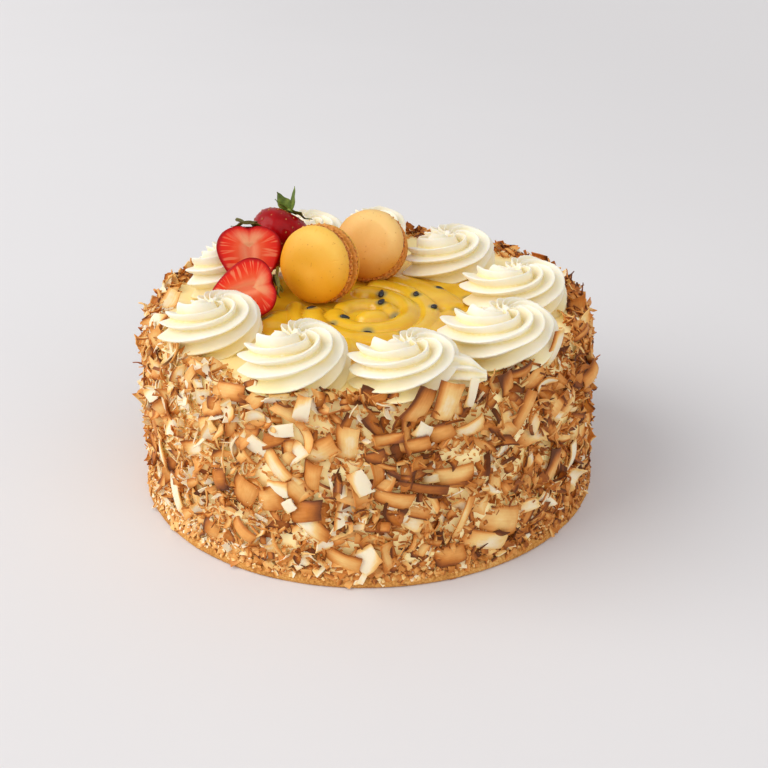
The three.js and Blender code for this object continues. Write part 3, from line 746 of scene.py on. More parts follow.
def shavingFrame(row, surface):
    # where a shaving sits: on the side, or with a pitch of up to 90 on the top edge
    rule, pitch = shavingRule, row.get("pitch", 0)
    radial, level, up = wayOut(row["at"])
    face = turnTowards(radial, up, pitch)
    slope = turnTowards(up, radial, -pitch)
    first = turnTowards(level, slope, row["roll"])
    second = turnTowards(slope, level, -row["roll"])
    long = turnTowards(first, face, row["lean"])
    lifted = turnTowards(face, first, -row["lean"])
    wide = turnTowards(second, lifted, row["tilt"])
    out = turnTowards(lifted, second, -row["tilt"])
    length, width = row["size"]
    lean, tilt = math.radians(row["lean"]), math.radians(row["tilt"])
    swing = 0.5 * (length * abs(math.sin(lean)) + width * abs(math.sin(tilt)))
    tall = 0.5 * (length * abs(long.z) + width * abs(wide.z)) + rule["thickness"]
    height = max(row["z"], coat["bottom"] + 0.6 + tall)
    radius = coatRadius(height) + surface
    reach = min(rule["reach"] + 1.6 - surface, rule["limit"] - radius)
    stand = min(max(swing - rule["grip"], rule["float"]) + row.get("lift", 0), reach - swing)
    if row.get("key"):
        stand = max(stand, row["lift"] + 0.5)
    sink = coat["edge"] * math.sin(math.radians(pitch)) * 0.6 + row.get("inset", 0)
    foot = radial * (radius - sink) + up * height
    return foot + face * stand, long, wide, out


class Heap:
    # gathers the points, faces, colours and grain of many shavings
    def __init__(self):
        self.points, self.faces, self.colours, self.grain = [], [], [], []


def addShaving(heap, row, number, surface, kind):
    middle, long, wide, out = row["frame"] if "frame" in row else shavingFrame(row, surface)
    ragged = row.get("ragged", kind["ragged"])
    length, width = row["size"]
    bend = math.radians(row["curl"]) or 0.01
    cup = math.radians(row.get("cup", 0)) or 0.01
    sections, strips = kind["cells"]
    skew = [pull((-0.7, 0.7), number, channel) * ragged * min(width, 7) for channel in (20, 21)]
    narrow, taper = pull((-0.1, 0.7), number, 22) * ragged, pull((-0.55, 0.55), number, 23) * ragged
    bakeTurn, bake = 2 * math.pi * draw(number, 24), between(*toasting["bake"], draw(number, 25) ** 1.3)
    # painted light: flakes round the side of the cake that faces the key light are made paler
    away = max(0, math.cos(math.atan2(middle.y, middle.x) + math.radians(toasting["away"])))
    pale = toasting["pale"] + toasting["litSidePale"] * away ** 3
    start = len(heap.points)
    for side in (-1, 1):
        for i in range(sections + 1):
            s = i / sections - 0.5
            for j in range(strips + 1):
                t = j / strips - 0.5
                worn = 1 - narrow * s * s + taper * s
                half = width * t * (worn + 0.2 * ragged * wobble((9 * s, 5 * t, number), 2.2))
                end = skew[0] * t * smooth(0, 0.5, -s) + skew[1] * t * smooth(0, 0.5, s)
                end += ragged * 0.8 * wobble((number * 3.1, 9 * t, s), 1.1) * smooth(0.3, 0.5, abs(s))
                angle = bend * (s + end / length)
                lean = cup * t
                along = (length / bend) * math.sin(angle)
                sag = (length / bend) * (1 - math.cos(angle)) + (width / cup) * (1 - math.cos(lean))
                normal = out * math.cos(angle) * math.cos(lean)
                normal += long * math.sin(angle) + wide * math.sin(lean)
                rim = max(abs(2 * s), abs(2 * t)) > 0.99
                thick = kind["thickness"] * (0.42 if rim else 0.5) * side
                point = middle + long * along + wide * half - out * sag + normal * thick
                heap.points.append((point.x, point.y, max(point.z, 0.3 + 0.2 * side)))
                brown = smooth(0.5 - 0.35 * row["skin"], 0.52, t * row["skinSide"]) * row["skin"]
                baked = smooth(-0.2, 1.2, 2 * s * math.cos(bakeTurn) + 2 * t * math.sin(bakeTurn))
                scorch = toasting["rimBrown"] * min(sections, 8) * (max(abs(2 * s), abs(2 * t)) ** 4 - 0.5)
                toast = row["tone"] + bake * baked + toasting["endBrown"] * abs(2 * s) ** 3 + scorch - pale
                heap.colours.append((toast, brown, draw(number, 30), 1))
                heap.grain.append((length * s + 40 * draw(number, 31), width * t + 40 * draw(number, 32)))
    rowSize = strips + 1
    sheet = (sections + 1) * rowSize
    for i in range(sections):
        for j in range(strips):
            a = start + i * rowSize + j
            heap.faces.append((a, a + rowSize, a + rowSize + 1, a + 1))
            b = a + sheet
            heap.faces.append((b, b + 1, b + rowSize + 1, b + rowSize))
    border = [i * rowSize for i in range(sections + 1)]
    border += [sections * rowSize + j for j in range(1, rowSize)]
    border += [i * rowSize + strips for i in range(sections - 1, -1, -1)]
    border += list(range(strips - 1, 0, -1))
    for k, a in enumerate(border):
        b = border[(k + 1) % len(border)]
        heap.faces.append((start + b, start + a, start + a + sheet, start + b + sheet))


def coconutPiece(name, heap, finish):
    piece = meshPiece(name, heap.points, heap.faces)
    colourPoints(piece, "toast", heap.colours)
    storeGrain(piece, heap.grain)
    faceOutwards(piece)
    finishPiece(piece, finish, "cake_body", shavingRule["shadeAngle"])


# most shavings are tan, some are ivory and a few dark: shares of the whole, and the tones of each
toneShares = [(0.1, (0.0, 0.1)), (0.4, (0.18, 0.38)), (0.8, (0.38, 0.62)), (0.95, (0.62, 0.78)),
              (1.01, (0.8, 0.95))]


def toneOf(number):
    share = draw(number, 40)
    for limit, tones in toneShares:
        if share < limit:
            return pull(tones, number, 41)


def largeRows():
    rule = shavingRule
    names = ("at", "z", "length", "width", "roll", "curl", "cup", "tone", "skin", "lift")
    rows = [dict(zip(names, values)) for values in keyShavings]
    for i, row in enumerate(rows):
        # on the far side from the light they look darker than they are
        row["tone"] -= 0.1 * smooth(-100, -60, row["at"])
        row.update(size=(row["length"], row["width"]), tilt=pull(rule["keyTilt"], i, 60),
                   lean=pull(rule["keyLean"], i, 61), skinSide=1, key=True, ragged=rule["keyRagged"])
    for i in range(rule["sideCount"] + rule["rimCount"]):
        onRim = i >= rule["sideCount"]
        share = 0.25 * (1 - i / rule["sideCount"]) + 0.75 * draw(i, 1)
        rows.append({
            "at": i * rule["step"] + rule["jitter"] * draw(i, 0),
            "z": coat["top"] - 1 if onRim else between(*rule["heights"], spread(i + 1)),
            "size": (between(*rule["length"], share), pull(rule["width"], i, 2)),
            "roll": 180 * draw(i, 3),
            "tilt": eitherSide(i, 4) * pull(rule["tilt"], i, 5),
            "lean": eitherSide(i, 6) * pull(rule["lean"], i, 7),
            "curl": between(*rule["curl"], draw(i, 8) ** 1.5),
            "pitch": pull(rule["pitch"], i, 9) if onRim else 0,
            "tone": toneOf(i + 900),
        })
    for i, row in enumerate(rows):
        if not row.get("key"):
            row.update(skin=rule["skin"] * draw(i, 11), skinSide=eitherSide(i, 12),
                       cup=pull(rule["cup"], i, 13))
    return [row for row in rows if row.get("key") or not underKey(row, 0.45)]


def underKey(row, reach):
    # whether the row's middle lies under one of the key shavings
    for at, z, length, width, roll, *rest in keyShavings:
        along = math.radians((row["at"] - at + 180) % 360 - 180) * 114
        rise = row["z"] - z
        turn = math.radians(roll)
        u = along * math.cos(turn) + rise * math.sin(turn)
        v = rise * math.cos(turn) - along * math.sin(turn)
        if abs(u) < reach * length and abs(v) < reach * width:
            return True
    return False


def kindRow(kind, i, number):
    onRim = i >= kind["count"]
    inward = draw(number, 14)
    isLong, isWide = kind["length"][1] > 4, kind["width"][1] > 4
    return {
        "at": i * shavingRule["step"] + betweenRule["jitter"] * draw(number, 0),
        "z": coat["top"] if onRim else pull(betweenRule["heights"], number, 10),
        "size": (pull(kind["length"], number, 1), pull(kind["width"], number, 2)),
        "roll": 180 * draw(number, 3),
        "tilt": eitherSide(number, 4) * pull(kind["tilt"], number, 5),
        "lean": eitherSide(number, 6) * pull(kind["lean"], number, 7),
        "curl": (1 if draw(number, 15) < betweenRule["curlOut"] else -1) * pull(kind["curl"], number, 8),
        "cup": pull(betweenRule["cup"], number, 13),
        "pitch": between(*betweenRule["pitch"], inward) if onRim else 0,
        "inset": betweenRule["inset"] * smooth(0.5, 1, inward) * draw(number, 16) if onRim else 0,
        "lift": pull(kind["lift"], number, 9),
        "tone": min(toneOf(number), betweenRule["darkest"][isLong]),
        "skin": betweenRule["skin"][isWide] * draw(number, 11),
        "skinSide": eitherSide(number, 12),
    }


def footRow(i, number):
    # crumbs and small shavings packed against the foot, over the edge of the sponge
    rule = footCrumbs
    z = pull(rule["heights"], number, 10)
    radius = between(*rule["reach"], smooth(2, 10, z)) + pull(rule["loose"], number, 14)
    radial, level, up = wayOut(i * shavingRule["step"] + 20 * draw(number, 0))
    pitch = pull(rule["slope"], number, 4)
    face = turnTowards(radial, up, pitch)
    long = turnTowards(level, turnTowards(up, radial, -pitch), 360 * draw(number, 3))
    sizes = rule["large" if draw(number, 15) < rule["largeShare"] else "small"]
    return {
        "frame": (radial * radius + up * z, long, face.cross(long), face),
        "size": (pull(sizes[0], number, 1), pull(sizes[1], number, 2)),
        "curl": pull(rule["curl"], number, 8), "cup": pull(rule["cup"], number, 13),
        "tone": min(toneOf(number), rule["darkest"]),
        "skin": rule["skin"] * draw(number, 11), "skinSide": eitherSide(number, 12),
    }


def coconutFinish():
    finish = Finish("toastedCoconut", 0.55, 0.3, under=(0.12, (1.0, 0.6, 0.3), 0.0012))
    tone, skin, chance = finish.channels("toast")
    fibre = finish.fibre((0.12, 1.1, 1), 3.0)
    blotch = finish.noise(160, 3, 0.6)
    level = tone + (fibre - 0.5) * 0.16 + (blotch - 0.5) * 0.3 + skin * 0.5 + (chance - 0.5) * 0.08
    finish.give("Base Color", finish.ramp(level, [
        (0.02, paint(251, 236, 204)), (0.2, paint(248, 206, 132)), (0.4, paint(232, 164, 86)),
        (0.6, paint(200, 120, 44)), (0.8, paint(150, 80, 26)), (1.0, paint(98, 50, 16))]))
    finish.bump(fibre * 0.4 + finish.noise(500, 3) * 0.5, 0.2, 0.5)
    return finish


def makeCoconut():
    finish = coconutFinish()
    heap = Heap()
    for i, row in enumerate(largeRows()):
        addShaving(heap, row, i, shavingRule["crust"], shavingRule)
    coconutPiece("largeShavings", heap, finish)
    number = 1000
    for kind in coconutKinds:
        heap = Heap()
        for i in range(kind["count"] + kind["rim"]):
            number += 1
            row = kindRow(kind, i, number)
            if kind["length"][1] < 4 or not underKey(row, 0.5):
                addShaving(heap, row, number, 0.4, kind)
        coconutPiece(kind["name"], heap, finish)
    heap = Heap()
    for i in range(footCrumbs["count"]):
        number += 1
        addShaving(heap, footRow(i, number), number, 0, footCrumbs)
    coconutPiece("footCrumbs", heap, finish)


makeCoconut()
report("coconut")


# The curd and its seeds.

curd = {
    "pool": {"radius": 61, "depth": 3.0, "wave": 3.5, "lobes": 5, "waveStart": 0.8, "sides": 220},
    "bottom": 92.35, "bed": 0.3, "lift": 0.7, "voxel": 0.6, "soften": 6, "halo": (1.8, 4.5),
}
# the way each rope of curd runs, its half width and height, and its middle's height over the pool's underside
curdRopes = [
    {"way": [(11, 25), (20, 20), (29, 12), (36, 1), (41, -9), (44, -19)], "half": (7.0, 2.2), "level": 2.6},
    {"way": [(42, -21), (40, -31), (35, -42), (32, -54), (33, -64)], "half": (5.4, 2.4), "level": 2.6},
    {"way": [(0, 15), (7, 15), (14, 11.5), (21, 5), (26, -4), (30, -14), (31, -24), (29.5, -34), (25, -43.5),
             (16, -50.5), (4, -53.5), (-7, -50.5), (-17, -43.5), (-23.5, -34.5), (-27, -23.5), (-26.5, -14)],
     "half": (5.4, 3.1), "level": 2.4},
    {"way": [(-7, 2), (-0.5, 5), (6, 3), (12, -2.5), (17, -9), (20.5, -18), (20, -28), (15, -36.5),
             (6, -41.5), (-4, -41.5), (-12, -36), (-16, -27), (-15, -18.5)],
     "half": (5.7, 3.4), "level": 2.5},
    {"way": [(-14.5, -20), (-10.5, -14), (-3, -11), (5.5, -13), (10.5, -19), (12, -26)], "half": (4.8, 3.3),
     "level": 2.8},
    {"way": [(-5.5, -27), (2, -27), (9.5, -24)], "half": (6.0, 3.1), "level": 2.8},
    {"way": [(-36, -8), (-36.5, -16), (-36, -26), (-33, -35), (-30, -40)], "half": (4.0, 2.8), "level": 2.5},
    {"way": [(-40, -17), (-45, -28), (-48, -36)], "half": (6.0, 2.2), "level": 2.2},
    {"way": [(-11.5, -52), (-9, -62), (-7, -73)], "half": (5.6, 2.4), "level": 2.2},
]
# each seed of the curd: where it lies, how far it stands out, and its turn
curdSeeds = [
    (7.3, -2.6, 0.4, 75), (7.2, -15.4, 0.4, 60), (25, -3.8, 0.3, 85), (33.4, -20.3, 0.3, 60),
    (44.8, -20.4, 0.2, 50), (-10.9, -32, 0.1, 20), (-27.7, -18.8, -0.5, 30), (-17.1, -38, -0.9, 130),
    (0.1, -47.4, -0.7, 10), (17.4, -51.3, -0.6, 20), (-32.6, -36.6, -0.5, 120), (13.8, -26.4, -1.0, 80),
    (38, 8, -0.5, 30), (52, -2, -0.4, 80), (-50, -26, -1.0, 40),
]
curdSeed = {"size": (5.3, 3.8, 2.9), "taper": 0.22}


def curveThrough(points, perSpan):
    # a smooth way through the points
    stops = [Vector(p) for p in points]
    stops = [2 * stops[0] - stops[1], *stops, 2 * stops[-1] - stops[-2]]
    way = []
    for a, b, c, d in zip(stops, stops[1:], stops[2:], stops[3:]):
        for i in range(perSpan):
            t = i / perSpan
            bend, twist = 2 * a - 5 * b + 4 * c - d, 3 * b - a - 3 * c + d
            way.append(0.5 * (2 * b + (c - a) * t + bend * t * t + twist * t ** 3))
    return way + [stops[-2]]


def curdRope(row, number):
    way = curveThrough(row["way"], 8)
    halfWidth, halfHeight = row["half"]
    walked = [0]
    for a, b in zip(way, way[1:]):
        walked.append(walked[-1] + (b - a).length)
    rings = []
    for i, middle in enumerate(way):
        ahead = way[min(i + 1, len(way) - 1)] - way[max(i - 1, 0)]
        side = Vector((-ahead.y, ahead.x)).normalized()
        near = min(1, (min(walked[i], walked[-1] - walked[i]) + 0.4) / halfWidth)
        size = math.sqrt(1 - (1 - near) ** 2) * (1 + 0.06 * wobble((walked[i], number * 9, 0), 12))
        ring = []
        for j in range(24):
            angle = 2 * math.pi * j / 24
            across = side * (halfWidth * size * math.cos(angle))
            up = max(row["level"] + curd["lift"] * size + halfHeight * size * math.sin(angle), curd["bed"])
            ring.append((middle.x + across.x, middle.y + across.y, up))
        rings.append(ring)
    return meshPiece("curdRope", *ringSkin(rings))


def curdPool():
    pool = curd["pool"]
    r, h = pool["radius"], pool["depth"]
    outline = [(r - 3, 0), (r - 0.3, 0.4), (r, 1.2), (r - 0.6, 2.2), (r - 2, h - 0.2), (r - 4, h)]
    outline += [(r - 12, h), (30, h), (5, h)]
    piece = turned("curdPool", outline, pool["sides"])
    for vertex in piece.data.vertices:
        turn = math.atan2(vertex.co.y, vertex.co.x)
        swell = 1 + pool["wave"] / r * math.sin(pool["lobes"] * turn + pool["waveStart"])
        vertex.co.x *= swell
        vertex.co.y *= swell
    return piece


def topOf(piece, x, y):
    # the point of the piece's surface that is seen there from above, and the normal in it
    found, place, normal, face = piece.ray_cast(Vector((x, y, 300)) * mm, Vector((0, 0, -1)))
    if not found:
        return Vector((x, y, curd["bottom"] + curd["pool"]["depth"])), Vector((0, 0, 1))
    return place / mm, normal


def curdFinish():
    finish = Finish("passionCurd", 0.2, under=(0.4, (1.0, 0.55, 0.12), 0.003), gloss=(0.3, 0.08))
    deep = finish.channels("hollow")[0]
    halo = finish.channels("halo")[0]
    cloud = finish.noise(60, 3)
    colour = finish.ramp(cloud, [(0.35, paint(232, 178, 26)), (0.65, paint(245, 200, 48))])
    # painted shade: darker orange in the valleys between the ropes
    colour = finish.mix(finish.mask(deep, 0.55, 1.0) * 0.75, colour, paint(196, 130, 28))
    colour = finish.mix(halo * 0.8, colour, paint(140, 134, 86))
    finish.give("Base Color", colour)
    finish.bump(finish.noise(160, 2), 0.3, 0.25)
    return finish


def makeCurdSeeds(surface):
    pieces, places = [], []
    for x, y, stand, turn in curdSeeds:
        place, normal = topOf(surface, x, y)
        middle = place + normal * stand
        places.append(middle)
        pick(None)
        bpy.ops.mesh.primitive_uv_sphere_add(segments=28, ring_count=18, radius=0.5 * mm)
        seed = bpy.context.object
        for vertex in seed.data.vertices:
            narrow = 1 - curdSeed["taper"] * (1 + vertex.co.x / (0.5 * mm))
            vertex.co = Vector((vertex.co.x, vertex.co.y * narrow, vertex.co.z * narrow))
        spin = Matrix.Rotation(math.radians(turn), 4, "Z") @ Matrix.Diagonal((*curdSeed["size"], 1))
        placePiece(seed, Matrix.Translation(middle * mm) @ standAlong(normal) @ spin)
        pieces.append(seed)
    piece = joinPieces("curdSeeds", pieces)
    finish = Finish("seedSkin", 0.16, 0.6)
    finish.clouded((500, 2), [(0.3, paint(18, 17, 20)), (0.7, paint(44, 42, 44))])
    finishPiece(piece, finish, "curd")
    return places


def makeCurd():
    parts = [curdPool()] + [curdRope(row, i) for i, row in enumerate(curdRopes)]
    piece = joinPieces("passionCurd", parts)
    remesh(piece, curd["voxel"], curd["soften"])
    placePiece(piece, Matrix.Translation((0, 0, curd["bottom"] * mm)))
    markHollows(piece, 12, 0.8)
    seeds = makeCurdSeeds(piece)
    near, far = curd["halo"]
    shades = []
    for vertex in piece.data.vertices:
        place = vertex.co / mm
        shades.append(1 - smooth(near, far, min((place - seed).length for seed in seeds)))
    shadePoints(piece, "halo", shades)
    finishPiece(piece, curdFinish(), "curd")


makeCurd()
report("curd and its seeds")


# The macarons.

macaron = {
    "radius": 19.6, "foot": 20.1, "footDepth": 3.6, "dome": 6.2, "fullness": 0.62, "hollow": 0.9,
    "footOutline": [(-2, 0.15), (-0.7, 0.2), (-0.1, 0.4), (0.1, 0.75), (-0.15, 1.05), (-0.6, 1.35),
                    (-0.8, 1.75), (-0.8, 2.2), (-0.7, 2.6), (-0.6, 2.95)],
    "filling": 2.6, "fillingRadius": 17.3, "gap": 0.3, "sides": 420,
    "ruffle": 0.75, "ruffleSize": 1.3, "dent": 0.45, "dentSize": 10,
}
# each macaron's three tones run from the shaded underside to the lit top and highlight: painted light
macaronRows = {
    "front": {"centre": (-23.6, -1.8, 114.9), "size": 1.0, "bearing": 28, "elevation": 14,
              "tones": [paint(226, 148, 8), paint(235, 166, 30), paint(244, 194, 84)]},
    "back": {"centre": (2.6, 29, 112.6), "size": 0.95, "bearing": 17, "elevation": 34,
             "tones": [paint(196, 106, 8), paint(224, 156, 62), paint(246, 202, 126)]},
}


def facing(bearing, elevation):
    # looks towards the front, turned left by the bearing, and upwards
    turn, rise = math.radians(bearing), math.radians(elevation)
    return Vector((-math.cos(rise) * math.sin(turn), -math.cos(rise) * math.cos(turn), math.sin(rise)))


def shellOutline(size):
    m = macaron
    foot, radius, depth = m["foot"] * size, m["radius"] * size, m["footDepth"]
    outline = [(8, 0.15), (14, 0.15)]
    outline += [(foot + out, z) for out, z in m["footOutline"]]
    outline += [(radius - 0.3, depth - 0.35), (radius - 0.05, depth - 0.1)]
    for turn in (4, 10, 17, 24, 31, 38, 45, 52, 59, 66, 72, 77, 81, 84, 86.5, 88.3, 89.4):
        a = math.radians(turn)
        r = radius * math.cos(a) ** m["fullness"]
        outline.append((r, depth + m["dome"] * math.sin(a) - m["hollow"] * (1 - smooth(0, 13 * size, r))))
    outline.append((0.4, depth + m["dome"] - m["hollow"]))
    return outline


def placeMacaron(piece, row, inner):
    turn = standAlong(facing(row["bearing"], row["elevation"]))
    placePiece(piece, Matrix.Translation(Vector(row["centre"]) * mm) @ turn @ inner)


def makeShell(name, row, flip, seed):
    m = macaron
    piece = turned(name, shellOutline(row["size"]), m["sides"])
    depth = m["footDepth"]

    def bake(place):
        foot = smooth(0.1, 0.5, place.z) * (1 - smooth(depth - 0.5, depth + 0.1, place.z))
        around = Vector((place.x, place.y, place.z * 0.6))
        frill = m["ruffle"] * (wobble(around, m["ruffleSize"], seed) - 0.35)
        frill += 0.4 * m["ruffle"] * wobble(around, 0.7, seed + 5)
        dome = smooth(depth, depth + 1.5, place.z)
        swell = m["dent"] * (wobble(place, m["dentSize"], seed) - 0.25)
        pits = -0.5 * smooth(0.52, 0.72, wobble(place, 1.5, seed + 9))
        pits *= smooth(0.2, 0.5, wobble(place, 11, seed + 3))
        return foot * frill + dome * (swell + pits)

    pushAlong(piece, bake)
    zones = []
    for vertex in piece.data.vertices:
        x, y, z = vertex.co / mm
        r = math.hypot(x, y) / row["size"]
        foot, lip = 1 - smooth(depth - 0.6, depth + 0.25, z), 1 - smooth(0.8, 1.25, z)
        zones.append((foot, lip, smooth(11, 14, r) * (1 - smooth(15, 18, r))))
    shift = Matrix.Translation((0, 0, (m["filling"] / 2 + m["gap"]) * mm))
    over = Matrix.Rotation(math.pi, 4, "X") if flip else Matrix.Identity(4)
    placeMacaron(piece, row, over @ shift)
    values = []
    for vertex, (foot, lip, shoulder) in zip(piece.data.vertices, zones):
        away = vertex.co / mm - Vector(row["centre"])
        # painted light: paler towards the top, and a painted crescent highlight on the upper shoulder
        up = 0.5 + (0.94 * away.z + 0.34 * away.x) / 50
        up += 0.3 * shoulder * max(0, (0.8 * away.z + 0.6 * away.x) / away.length) ** 3
        values.append((foot, lip, min(max(up, 0), 1), 1))
    colourPoints(piece, "bake", values)
    return piece


def shellFinish(name, tones):
    finish = Finish(f"macaronShell{name}", 0.48, 0.35, under=(0.2, (1.0, 0.5, 0.15), 0.0018))
    foot, lip, up = finish.channels("bake")
    cloud = finish.noise(90, 4, 0.6)
    # the shell's tone follows the painted light share: shaded below, lit above
    level = up + (cloud - 0.5) * 0.3
    shell = finish.ramp(level, [(0.1, tones[0]), (0.45, tones[1]), (0.9, tones[2])])
    speck = finish.mask(finish.noise(700, 1), 0.7, 0.76) * 0.5
    shell = finish.mix(speck, shell, paint(190, 110, 30))
    crumb = finish.noise(900, 3, 0.6)
    rough = finish.ramp(crumb, [
        (0.36, paint(132, 54, 10)), (0.48, paint(196, 108, 34)), (0.6, paint(236, 164, 78))])
    rough = finish.mix(lip * 0.75, rough, paint(232, 158, 66))
    finish.give("Base Color", finish.mix(foot, shell, rough))
    finish.bump(crumb * foot * 1.2 + cloud * 0.5 + finish.noise(1400, 2) * 0.15, 0.35, 0.5)
    return finish


def makeFilling(name, row, finish):
    half, r = macaron["filling"] / 2, macaron["fillingRadius"] * row["size"]
    outline = [(5, -half), (r - 1, -half), (r - 0.25, -half * 0.7), (r, 0), (r - 0.2, half * 0.7)]
    outline += [(r - 1, half), (5, half)]
    piece = turned(f"macaronFilling{name}", outline, 260)
    pushAlong(piece, lambda place: 0.45 * wobble(place, 3) * smooth(8, 15, math.hypot(place.x, place.y)))
    placeMacaron(piece, row, Matrix.Identity(4))
    finishPiece(piece, finish, f"macaron_{name}_filling")


def makeMacarons():
    filling = Finish("macaronFilling", 0.45, 0.4)
    filling.clouded((400, 3), [(0.3, paint(120, 52, 8)), (0.7, paint(176, 92, 24))])
    filling.bump(filling.noise(600, 3), 0.3, 0.5)
    for number, (name, row) in enumerate(macaronRows.items()):
        title = name.capitalize()
        finish = shellFinish(title, row["tones"])
        for side, flip, seed in (("a", False, 1), ("b", True, 4)):
            piece = makeShell(f"macaronShell{title}{side.upper()}", row, flip, 11 * number + seed)
            finishPiece(piece, finish, f"macaron_{name}_shell_{side}")
        makeFilling(name, row, filling)


makeMacarons()
report("macarons")


# The strawberries and their leaves.

berry = {
    "length": 34, "perSpan": 7, "sides": 96, "cutRings": 22, "pips": 150, "pipSize": (1.3, 0.85, 0.6),
    "dimple": 0.5,
}
# radius against depth below the shoulder, as shares of the length
berryProfile = [
    (0, 0.03), (0.13, -0.01), (0.28, 0.015), (0.42, 0.11), (0.487, 0.27), (0.46, 0.44), (0.37, 0.62),
    (0.25, 0.79), (0.13, 0.92), (0, 1),
]
berries = {
    "upper": {"shoulder": (-59.5, 9, 131.2), "bearing": -15, "elevation": 22, "stemTurn": -5,
              "half": True, "size": 1.0, "width": 1.0,
              "leaves": [(70, 13, 4), (110, 12, 12), (150, 9, -14), (35, 10, -18)]},
    "lower": {"shoulder": (-46, -20.2, 112.4), "bearing": -8, "elevation": 20, "stemTurn": -80,
              "half": True, "size": 0.94, "width": 0.93,
              "leaves": [(20, 8, -10), (60, 10, 10), (95, 11, -6), (135, 9, 14)]},
    "back": {"shoulder": (-40.5, 45, 125.2), "bearing": 0, "elevation": 25, "stemTurn": -28,
             "half": False, "size": 1.0, "width": 0.98,
             "leaves": [(180, 12, 24, 72), (185, 12.5, 72, 22), (20, 11, 4), (120, 11, -8),
                        (165, 11, 6), (300, 11, 2)]},
}
leaf = {
    "thickness": 0.6, "width": 6.6, "start": 1.0, "wave": 0.9, "waves": 1.3, "steps": 14, "strips": 8,
    "lift": 1.86, "fold": 0.9,
}


def berryMatrix(row):
    cut = facing(row["bearing"], row["elevation"])
    right = Vector((0, 0, 1)).cross(cut).normalized()
    up = cut.cross(right)
    turn = math.radians(row["stemTurn"])
    stem = up * math.cos(turn) - right * math.sin(turn)
    across = (-cut).cross(stem)
    spin = Matrix((across, -cut, stem)).transposed().to_4x4()
    return Matrix.Translation(Vector(row["shoulder"]) * mm) @ spin


def berryOutline(row):
    length = berry["length"] * row["size"]
    way = curveThrough([(r * length * row["width"], -depth * length) for r, depth in berryProfile],
                       berry["perSpan"])
    return [(max(p.x, 0), p.y) for p in way]


def berryPips(row):
    # the places of the pips on the skin: along a spiral that winds from the shoulder to the tip
    outline = berryOutline(row)
    places = []
    for i in range(berry["pips"]):
        share = 0.07 + 0.89 * (i + 0.5) / berry["pips"]
        step = share ** 0.85 * (len(outline) - 1)
        (r0, z0), (r1, z1) = outline[int(step)], outline[min(int(step) + 1, len(outline) - 1)]
        r, z = between(r0, r1, step % 1), between(z0, z1, step % 1)
        turn = math.radians(137.508 * i + 6 * draw(i, 50))
        if row["half"] and math.sin(turn) * r < 1.0:
            continue
        out = Vector((z0 - z1, 0, r1 - r0)).normalized()
        out = Vector((abs(out.x) if abs(out.x) > 0.01 else 0.01, 0, out.z))
        normal = Vector((out.x * math.cos(turn), out.x * math.sin(turn), out.z)).normalized()
        places.append((Vector((r * math.cos(turn), r * math.sin(turn), z)), normal))
    return places


def berrySkin(row, pips):
    # rings of points down the berry, with a dimple at each pip
    outline = berryOutline(row)
    span = math.pi if row["half"] else 2 * math.pi
    sides = berry["sides"] // 2 if row["half"] else berry["sides"]
    rings = []
    for r, z in outline:
        ring = []
        for j in range(sides + 1 if row["half"] else sides):
            turn = span * j / sides
            swell = 0.025 * math.sin(3 * turn + 0.7) * smooth(0, 6, r)
            swell = 1 + swell * (math.sin(turn) if row["half"] else 1)
            place = Vector((r * swell * math.cos(turn), r * swell * math.sin(turn), z))
            nearest = min((place - pip).length for pip, normal in pips)
            dip = berry["dimple"] * (1 - smooth(0.3, 1.5, nearest))
            dip *= smooth(0, 1.5, place.y) if row["half"] else 1
            ring.append(place * (1 - dip / max(place.length, 6)))
        rings.append(ring)
    return rings


def cutFace(row, rings):
    # the flat cut: rings from the skin's edge in to a line down the middle
    right = [ring[0] for ring in rings]
    left = [ring[-1] for ring in rings]
    border = right + left[-2:0:-1]
    length = berry["length"] * row["size"]
    flat = []
    for k in range(berry["cutRings"] + 1):
        t = (k / berry["cutRings"]) ** 0.9
        ring = []
        for place in border:
            core = Vector((place.x * 0.05, 0, min(max(place.z * 0.9, -0.66 * length), -0.3 * length)))
            point = place.lerp(core, t)
            hollow = 0.35 * smooth(0.8, 1, t) - 0.28 * smooth(0, 0.12, t) * (1 - smooth(0.75, 0.95, t))
            ripple = 0.10 * wobble(point, 1.6, 3) + 0.12 * wobble(point, 4, 6)
            point.y = hollow + ripple * smooth(0, 0.15, t)
            ring.append(point)
        flat.append(ring)
    return border, flat


def makeBerry(name, row, finish):
    pips = berryPips(row)
    rings = berrySkin(row, pips)
    points, faces = ringSkin(rings, closeEnds=False, around=not row["half"])
    flesh = [(0, 0, 0, 1)] * len(points)
    grain = [(0, 0)] * len(points)
    if row["half"]:
        border, flat = cutFace(row, rings)
        start, count = len(points), len(border)
        length = berry["length"] * row["size"]
        for k, ring in enumerate(flat):
            t = k / (len(flat) - 1)
            for i, place in enumerate(ring):
                points.append(place)
                flesh.append((t, 1 if k else 0, 1 - min(max(-border[i].z / length, 0), 1), 1))
                grain.append((28 * i / count, t))
        faces += [[start + corner for corner in face] for face in ringSkin(flat, closeEnds=False)[1]]
        faces.append(list(range(start + (len(flat) - 1) * count, start + len(flat) * count)))
    piece = meshPiece(f"strawberry{name.capitalize()}", points, faces)
    colourPoints(piece, "flesh", flesh)
    storeGrain(piece, grain)
    faceOutwards(piece, merge=0.02)
    placePiece(piece, berryMatrix(row))
    finishPiece(piece, finish, f"strawberry_{name}")
    makePips(name, row, pips)


